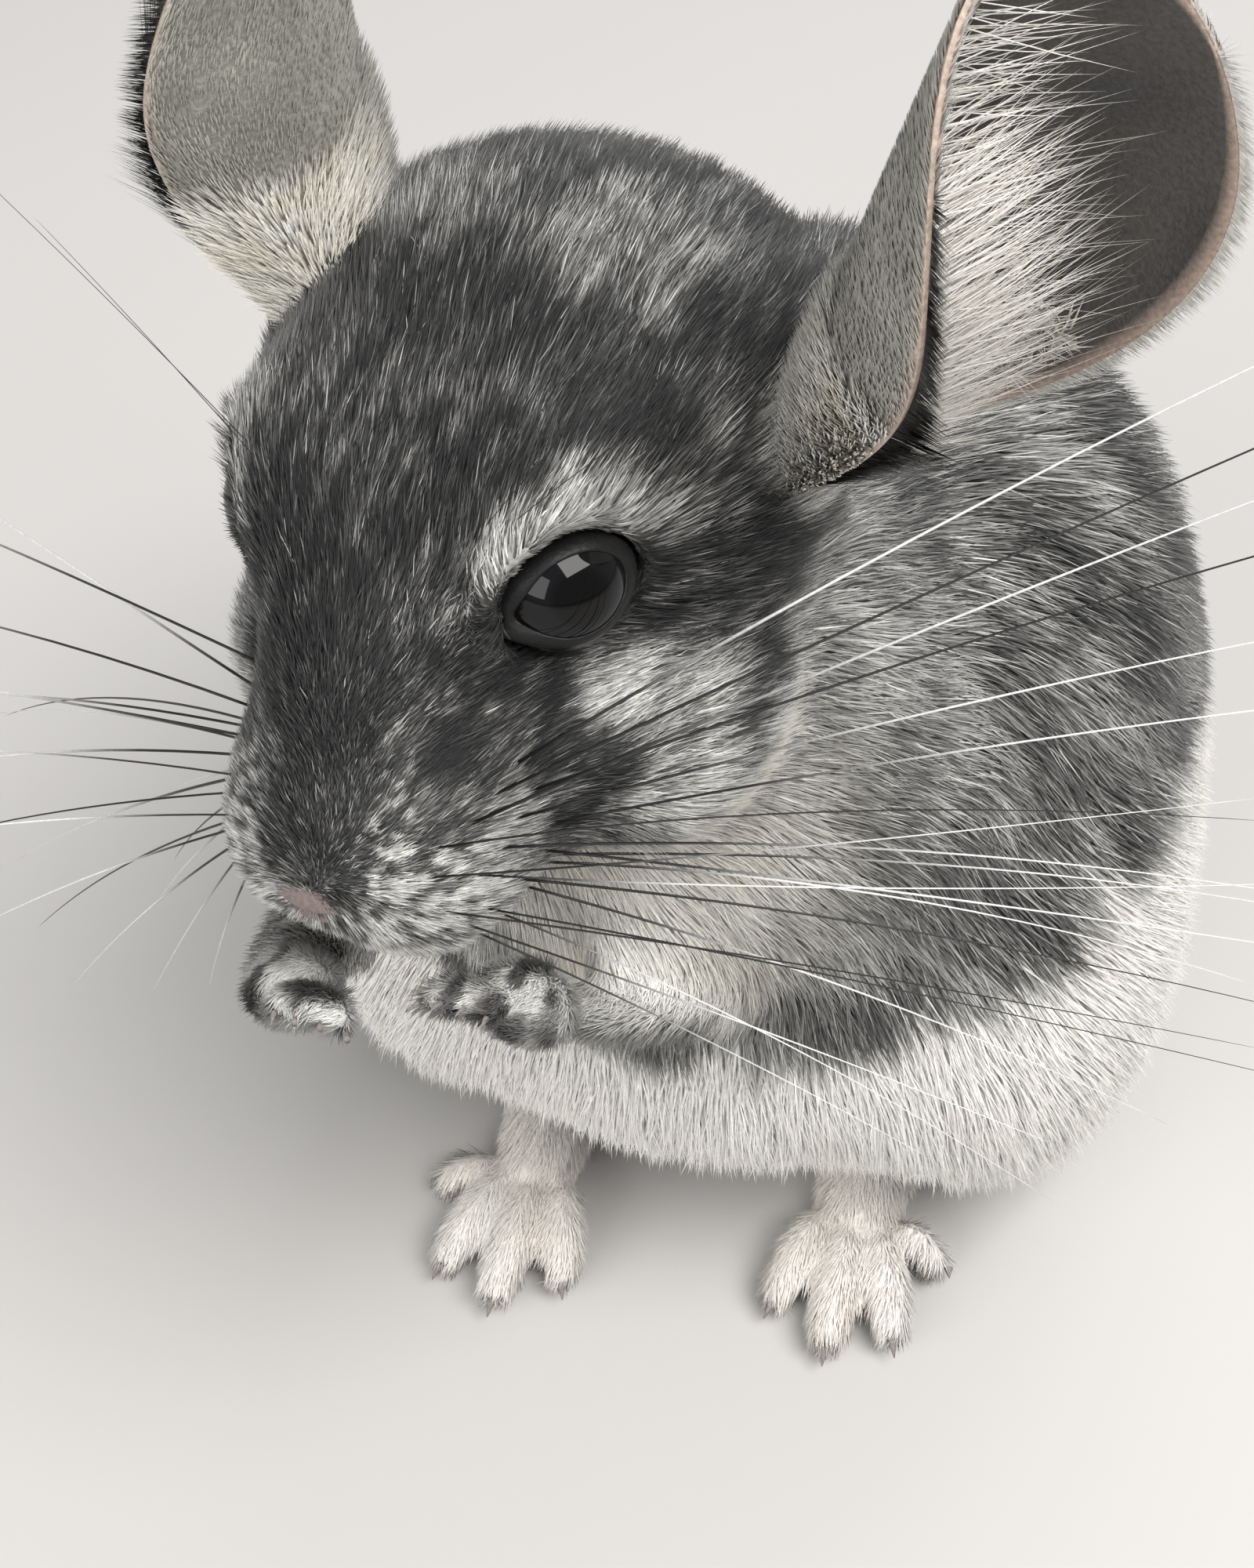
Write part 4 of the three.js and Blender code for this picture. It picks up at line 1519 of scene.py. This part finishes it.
@dataclass
class LongHairs:
    """Whiskers, brow hairs, guard hairs and the hairs of the ears."""

    skin: Skin

    def on_skin(self, spot: Array) -> Array:
        """The nearest place on the skin to a place in the head's axes.

        Args:
            spot: A place in the head's axes.

        Returns:
            The place in the body's mm.
        """
        body = POSE.from_head(np.asarray(spot, float)[None])[0]
        nearest = np.argmin(np.linalg.norm(self.skin.surface.points - body, axis=1))
        return self.skin.surface.points[nearest]

    def whiskers(self) -> None:
        """Grows the whiskers of both sides, in rows on the pads."""
        rng = np.random.default_rng(SEED + 1)
        for side in Side:
            strands = []
            tilt, sweep, reach = (-9.0, 2.0, 1.25) if side is Side.LEFT else (-32.0, -22.0, 1.0)
            for row in range(4):
                for column in range(5):
                    spot = np.array([9.0 + 1.2 * row, -31.0 + 3.1 * column - 0.5 * row, -4.5 - 2.9 * row])
                    spot *= np.array([side.value, 1, 1])
                    root = self.on_skin(spot)
                    rise = math.radians(30 - 17 * row + rng.normal(0, 3) + 2.5 * column + tilt)
                    rear = math.radians(6 + 6 * column + rng.normal(0, 3) + sweep)
                    level = math.cos(rise)
                    aside = side.value * level * math.cos(rear)
                    heading = np.array([aside, level * math.sin(rear), math.sin(rise)])
                    heading = POSE.turn_from_head(heading)
                    length = (62 + 38 * (column / 4)) * (1 - 0.10 * row) * rng.uniform(0.85, 1.06) * reach
                    curl = POSE.turn_from_head(np.array([0.0, rng.normal(0.05, 0.05), rng.normal(0, 0.03)]))
                    dark = rng.uniform(0.15, 0.5)
                    thick = 0.17 if column > 1 else 0.12
                    pale = (0.62, 0.62, 0.62) if rng.random() < 0.72 else (0.02, 0.02, 0.02)
                    path = curved(root, heading, length, 0.17 + rng.normal(0, 0.04), curl, 16)
                    strands.append(Strand(path, thick, (0.012, 0.012, 0.013), pale, dark))
            piece = grow_strands(f"whiskers_{side.word}", strands)
            piece.data.materials.append(Hair("whisker_hair", 0.35, sheen=0.0).material())
            fix(piece, "whisker", *(f"whisker_{side.word}_{n}" for n in range(1, 6)))

    def brows(self) -> None:
        """Grows the few long dark hairs over each eye."""
        rng = np.random.default_rng(SEED + 2)
        strands = []
        for side in Side:
            for number in range(2):
                spot = np.array([side.value * (11.0 + 2.0 * number), -8.0 + 1.5 * number, 17.0])
                heading = np.array([side.value * (0.65 + 0.1 * number), 0.25, 0.85 - 0.1 * number])
                heading = POSE.turn_from_head(heading)
                path = curved(self.on_skin(spot), heading, 30 + 10 * number, 0.06, np.zeros(3))
                strands.append(Strand(path, 0.03, (0.012, 0.012, 0.012), (0.02, 0.02, 0.02)))
        eyes = [EYES.centre(side) for side in Side]
        for _ in range(150):
            spot = np.array([rng.uniform(-26, 26), rng.uniform(-30, 30), 22.0])
            root = self.on_skin(spot)
            if min(np.linalg.norm(root - eye) for eye in eyes) < 10.5:
                continue
            nearest = np.argmin(np.linalg.norm(self.skin.surface.points - root, axis=1))
            flow, normal = self.skin.flow[nearest], self.skin.normals[nearest]
            heading = unit(flow + normal * rng.uniform(0.35, 0.8) + rng.normal(0, 0.25, 3))
            white = rng.random() < 0.45
            tone = (0.6, 0.6, 0.6) if white else (0.02, 0.02, 0.02)
            path = curved(root, heading, rng.uniform(2.5, 4.5), 0.1, np.zeros(3), 5)
            strands.append(Strand(path, 0.03, tone, tone))
        piece = grow_strands("guard_hairs", strands, 3)
        piece.data.materials.append(Hair("whisker_hair", 0.35, sheen=0.0).material())
        fix(piece, "whisker")

    def ears(self) -> None:
        """Grows the velvet, the streaming inner hairs and the fringe of each ear."""
        rng = np.random.default_rng(SEED + 3)
        for side, sheet in EARS.items():
            count = 13000
            x, y = rng.uniform(-0.99, 0.99, count), rng.uniform(-0.98, 0.99, count)
            place, normal, up, _ = sheet.frame_at(x, y, np.full(count, 0.5))
            tone = mix((0.25, 0.245, 0.215), np.array((0.42, 0.41, 0.37)), cloudy(place, 4.0, 81))
            pale = ramp(np.maximum(np.abs(x), np.abs(y)), 0.9, 1.0)
            tone = mix(tone, np.array((0.55, 0.50, 0.44)), pale * 0.6)
            low = ramp(-y + 0.12 * (cloudy(place, 4.0, 85) - 0.5), -0.10, 0.16)
            front = 1 - ramp(x, -0.3, 0.3)
            foot = mix(TONES.cream, np.array(TONES.white), cloudy(place, 3.0, 83))
            tone = mix(tone, np.array(TONES.grey), 0.45 * ramp(-y, 0.0, 0.5) * (1 - front))
            tone = mix(tone, foot, low * front)
            # Roots at 0.7 of the tip colour: painted shade among the hairs.
            short = Roots(
                place, normal, up, 1.3 + 3.2 * low, 0.2 + 0.12 * low, 16.0 + 16.0 * low * rng.random(count),
                tone * rng.uniform(0.8, 1.2, count)[:, None], tone * 0.7,
            )
            self.finish_tufts(f"ear_velvet_{side.word}", short, Tuft.STRAIGHT, x, y)
            self.inner_hairs(side, sheet, rng)

    def finish_tufts(self, name: str, roots: Roots, tuft: Tuft, x: Array, y: Array) -> None:
        """Makes one piece of ear hair.

        Args:
            name: The piece's name.
            roots: Its roots.
            tuft: How finely each tuft is made.
            x: Places across the ear, -1 to 1.
            y: Places along the ear, -1 to 1.
        """
        patch = np.stack([(x + 1) / 2, (y + 1) / 2], axis=1)
        low, high = patch.min(0), patch.max(0)
        patch = 0.003 + 0.994 * (patch - low) / (high - low)
        piece = grow_tufts(name, roots, tuft, patch)
        piece.data.materials.append(Hair("fur").material())
        fix(piece, "ear")

    def inner_hairs(self, side: Side, sheet: EarSheet, rng: np.random.Generator) -> None:
        """Grows the long pale hairs inside an ear and the fringe on its rim.

        Args:
            side: Which ear.
            sheet: The ear's shape.
            rng: The seeded source of chance.
        """
        count = 1500
        x = -0.985 + 0.8 * rng.random(count) ** 2.4
        y = rng.uniform(-0.85, 0.96, count)
        face = np.full(count, -0.5)
        place, normal, up, _ = sheet.frame_at(x, y, face)
        aim_x = 0.75 + 0.2 * rng.random(count)
        across = sheet.at(aim_x, np.minimum(y + rng.uniform(0.0, 0.35, count), 0.95), face)
        length = rng.uniform(4, 24, count) * (1 - 0.35 * ramp(y, 0.3, 0.9))
        flow = unit(unit(across - place) + 0.10 * rng.normal(0, 1, (count, 3)))
        tone = mix((0.60, 0.56, 0.50), np.array(TONES.white), rng.random(count))
        # Roots at 0.85 of the tip colour: painted shade among the hairs.
        inner = Roots(
            place, unit(np.cross(flow, up)), flow, length, np.full(count, 0.12),
            rng.uniform(-12, 12, count), tone, tone * 0.85,
        )
        self.finish_tufts(f"ear_hairs_{side.word}", inner, Tuft.BENT, x, y)

        count = 3400
        around = rng.uniform(-1, 1, count)
        edge = rng.uniform(0.985, 0.999, count)
        which = rng.random(count)
        x = np.where(which < 0.5, edge, np.where(which < 0.9, -edge, around))
        y = np.where(which < 0.9, around * 0.98, edge)
        place, normal, up, rear = sheet.frame_at(x, y, np.full(count, -0.2))
        sideways = np.sign(x)[:, None] * rear * np.abs(x)[:, None] ** 3
        out = unit(sideways + up * (0.45 + 0.6 * np.maximum(y, 0) ** 3)[:, None])
        tone = mix((0.55, 0.52, 0.47), np.array(TONES.white), rng.random(count))
        long = 1 + 2.2 * (x < 0) * ramp(-y, -0.5, 0.3) * rng.random(count)
        # Roots at 0.8 of the tip colour: painted shade among the hairs.
        fringe = Roots(
            place, unit(np.cross(out, up) + normal), out,
            rng.uniform(1.0, 3.0, count) * long, np.full(count, 0.11),
            rng.uniform(0, 14, count), tone, tone * 0.8,
        )
        self.finish_tufts(f"ear_fringe_{side.word}", fringe, Tuft.STRAIGHT, x, y)

        count = 5200
        x = rng.uniform(-0.9, 0.9, count)
        y = -0.99 + 0.75 * rng.random(count) ** 1.4
        place, normal, up, rear = sheet.frame_at(x, y, np.full(count, -0.5))
        tone = mix(TONES.cream, np.array(TONES.white), rng.random(count))
        # Roots at 0.7 of the tip colour: painted shade among the hairs.
        puff = Roots(
            place, normal, unit(up + 0.3 * rng.normal(0, 1, (count, 3))), rng.uniform(3.0, 5.5, count),
            np.full(count, 0.3), rng.uniform(18, 45, count), tone, tone * 0.7,
        )
        self.finish_tufts(f"ear_puff_{side.word}", puff, Tuft.STRAIGHT, x, y)


@dataclass
class Extremities:
    """Nose pad and claws."""

    claw_share: float = 0.82

    def nose(self) -> None:
        """Models the nose pad with its two slanted nostrils."""
        piece = begin("nose_pad", bpy.ops.mesh.primitive_ico_sphere_add, subdivisions=6, radius=1.0)
        ball = mesh_points(piece)
        spot = ball * np.array([4.2, 2.0, 2.7]) + np.array([0.0, -36.2, -6.6])
        spot[:, 0] *= 1 + 0.25 * ball[:, 2]
        for sign in (-1, 1):
            away = (ball - unit(np.array([0.42 * sign, -0.86, 0.12]))) / np.array([0.30, 1.0, 0.16])
            dent = np.exp(-(away**2).sum(1))
            spot[:, 1] += 1.5 * dent
        split = np.exp(-((ball[:, 0] / 0.10) ** 2)) * ramp(-ball[:, 2], 0.1, 0.5)
        spot[:, 1] += 0.5 * split
        place_vertices(piece, POSE.from_head(spot))
        fix_smooth(piece, Leather("nose_skin", 0.55, colour=(0.17, 0.135, 0.128)).material(), "eye")

    def claws(self) -> None:
        """Models each claw as a bent cone in the place of its solid."""
        for name in sorted(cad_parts):
            if not name.startswith("claw_"):
                continue
            low, high = (body_mm(np.array(corner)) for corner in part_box(name))
            node = vertices_of(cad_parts[name])
            tip = node[np.argmin(node[:, 1])] if "hind" in name else None
            middle = (low + high) / 2
            if tip is None:
                spread = node - node.mean(0)
                axis = np.linalg.svd(spread, full_matrices=False)[2][0]
                along = spread @ axis
                ends = [node[along < np.percentile(along, 15)], node[along > np.percentile(along, 85)]]
                wide = [np.linalg.norm(e - e.mean(0), axis=1).mean() for e in ends]
                tip = ends[int(np.argmin(wide))].mean(0)
            heading = unit(tip - middle)
            base = middle - (tip - middle)
            thick = 0.8 if "hind" in name else 0.42
            length = self.claw_share * float(np.linalg.norm(tip - base))
            self.claw(f"claw_shell_{name[5:]}", name, base, heading, length, thick)

    def claw(self, label: str, node: str, base: Array, heading: Array, length: float, thick: float) -> None:
        """Models one claw.

        Args:
            label: The piece's name.
            node: The solid that it replaces.
            base: The middle of its root.
            heading: Its direction.
            length: Its length.
            thick: Its radius at the root.
        """
        add = bpy.ops.mesh.primitive_cone_add
        piece = begin(label, add, vertices=16, radius1=1, radius2=0.12, depth=1)
        edit_all(piece, bpy.ops.mesh.subdivide, number_cuts=5)
        cone = mesh_points(piece)
        along = cone[:, 2] + 0.5
        across = unit(np.cross(heading, [0.0, 0.0, 1.0]))
        up = np.cross(across, heading)
        place = (
            base
            + heading * (along * length)[:, None]
            + across * (cone[:, 0] * thick * 0.75)[:, None]
            + up * (cone[:, 1] * thick + 0.10 * length * (along - along**2) * 2)[:, None]
        )
        place_vertices(piece, place)
        horn = Leather("claw_horn", 0.6, colour=(0.20, 0.18, 0.17), grain=0.0004)
        fix_smooth(piece, horn.material(), "claw", node)


@dataclass(frozen=True)
class Studio:
    """Camera, floor and light; lengths in mm."""

    camera_at: tuple = (38.5, -222.7, 259.9)
    azimuth: float = 15.0
    elevation: float = 45.0
    lens: float = 54.0

    def camera(self) -> None:
        """Places the camera at the photograph's angle and framing."""
        turn, drop = math.radians(self.azimuth), math.radians(self.elevation)
        level = math.cos(drop)
        forward = Vector((-math.sin(turn) * level, math.cos(turn) * level, -math.sin(drop)))
        data = bpy.data.cameras.new("camera")
        data.lens = self.lens
        data.sensor_width = 36.0
        data.clip_start = 0.01
        data.clip_end = 20.0
        camera = bpy.data.objects.new("camera", data)
        camera.location = Vector(row_frame(np.array(self.camera_at)))
        camera.rotation_euler = forward.to_track_quat("-Z", "Y").to_euler()
        bpy.context.scene.collection.objects.link(camera)
        bpy.context.scene.camera = camera

    def floor(self) -> None:
        """Lays a plain pale floor."""
        bpy.ops.object.select_all(action="DESELECT")
        bpy.ops.mesh.primitive_plane_add(size=6.0)
        floor = bpy.context.object
        floor.name = "floor"
        material = bpy.data.materials.new("floor_pale")
        material.use_nodes = True
        shader = material.node_tree.nodes["Principled BSDF"]
        shader.inputs["Base Color"].default_value = (0.50, 0.49, 0.48, 1)
        shader.inputs["Roughness"].default_value = 0.85
        floor.data.materials.append(material)

    def light(self, name: str, at: tuple, aim: tuple, size: float, power: float, tint: tuple) -> None:
        """Hangs one soft light.

        Args:
            name: The light's name.
            at: Its place in metres.
            aim: What it points at, in metres.
            size: Its width in metres.
            power: Its power in watts.
            tint: Its colour.
        """
        data = bpy.data.lights.new(name, "AREA")
        data.shape = "RECTANGLE"
        data.size = size
        data.size_y = size * 0.7
        data.energy = power
        data.color = tint
        lamp = bpy.data.objects.new(name, data)
        lamp.location = at
        lamp.rotation_euler = (Vector(aim) - Vector(at)).to_track_quat("-Z", "Y").to_euler()
        bpy.context.scene.collection.objects.link(lamp)

    def build(self) -> None:
        """Sets camera, floor, lights and the pale surroundings."""
        self.camera()
        self.floor()
        aim = (0.0, -0.03, 0.09)
        self.light("window", (0.55, -0.35, 1.05), aim, 0.9, 18.0, (1.0, 0.985, 0.96))
        self.light("fill", (-0.5, -1.0, 0.55), aim, 1.0, 9.0, (1.0, 0.99, 0.97))
        self.light("rim", (0.2, 0.9, 0.8), aim, 0.8, 5.0, (1.0, 1.0, 1.0))
        world = bpy.context.scene.world or bpy.data.worlds.new("studio")
        bpy.context.scene.world = world
        world.use_nodes = True
        background = world.node_tree.nodes["Background"]
        background.inputs["Color"].default_value = (0.90, 0.90, 0.90, 1)
        background.inputs["Strength"].default_value = 0.42
        bpy.context.scene.view_settings.view_transform = "Standard"


def main() -> None:
    """Builds the animal, its coat and the studio."""
    Studio().build()
    skin = Skin()
    skin.build()
    for side in Side:
        EYES.build_ball(side)
        EYES.build_lids(side)
    coat = Coat(skin)
    coat.build()
    hairs = LongHairs(skin)
    hairs.whiskers()
    hairs.brows()
    hairs.ears()
    extremities = Extremities()
    extremities.nose()
    extremities.claws()
    skin.dress()
    bpy.ops.object.select_all(action="DESELECT")


if __name__ == "__main__":
    main()
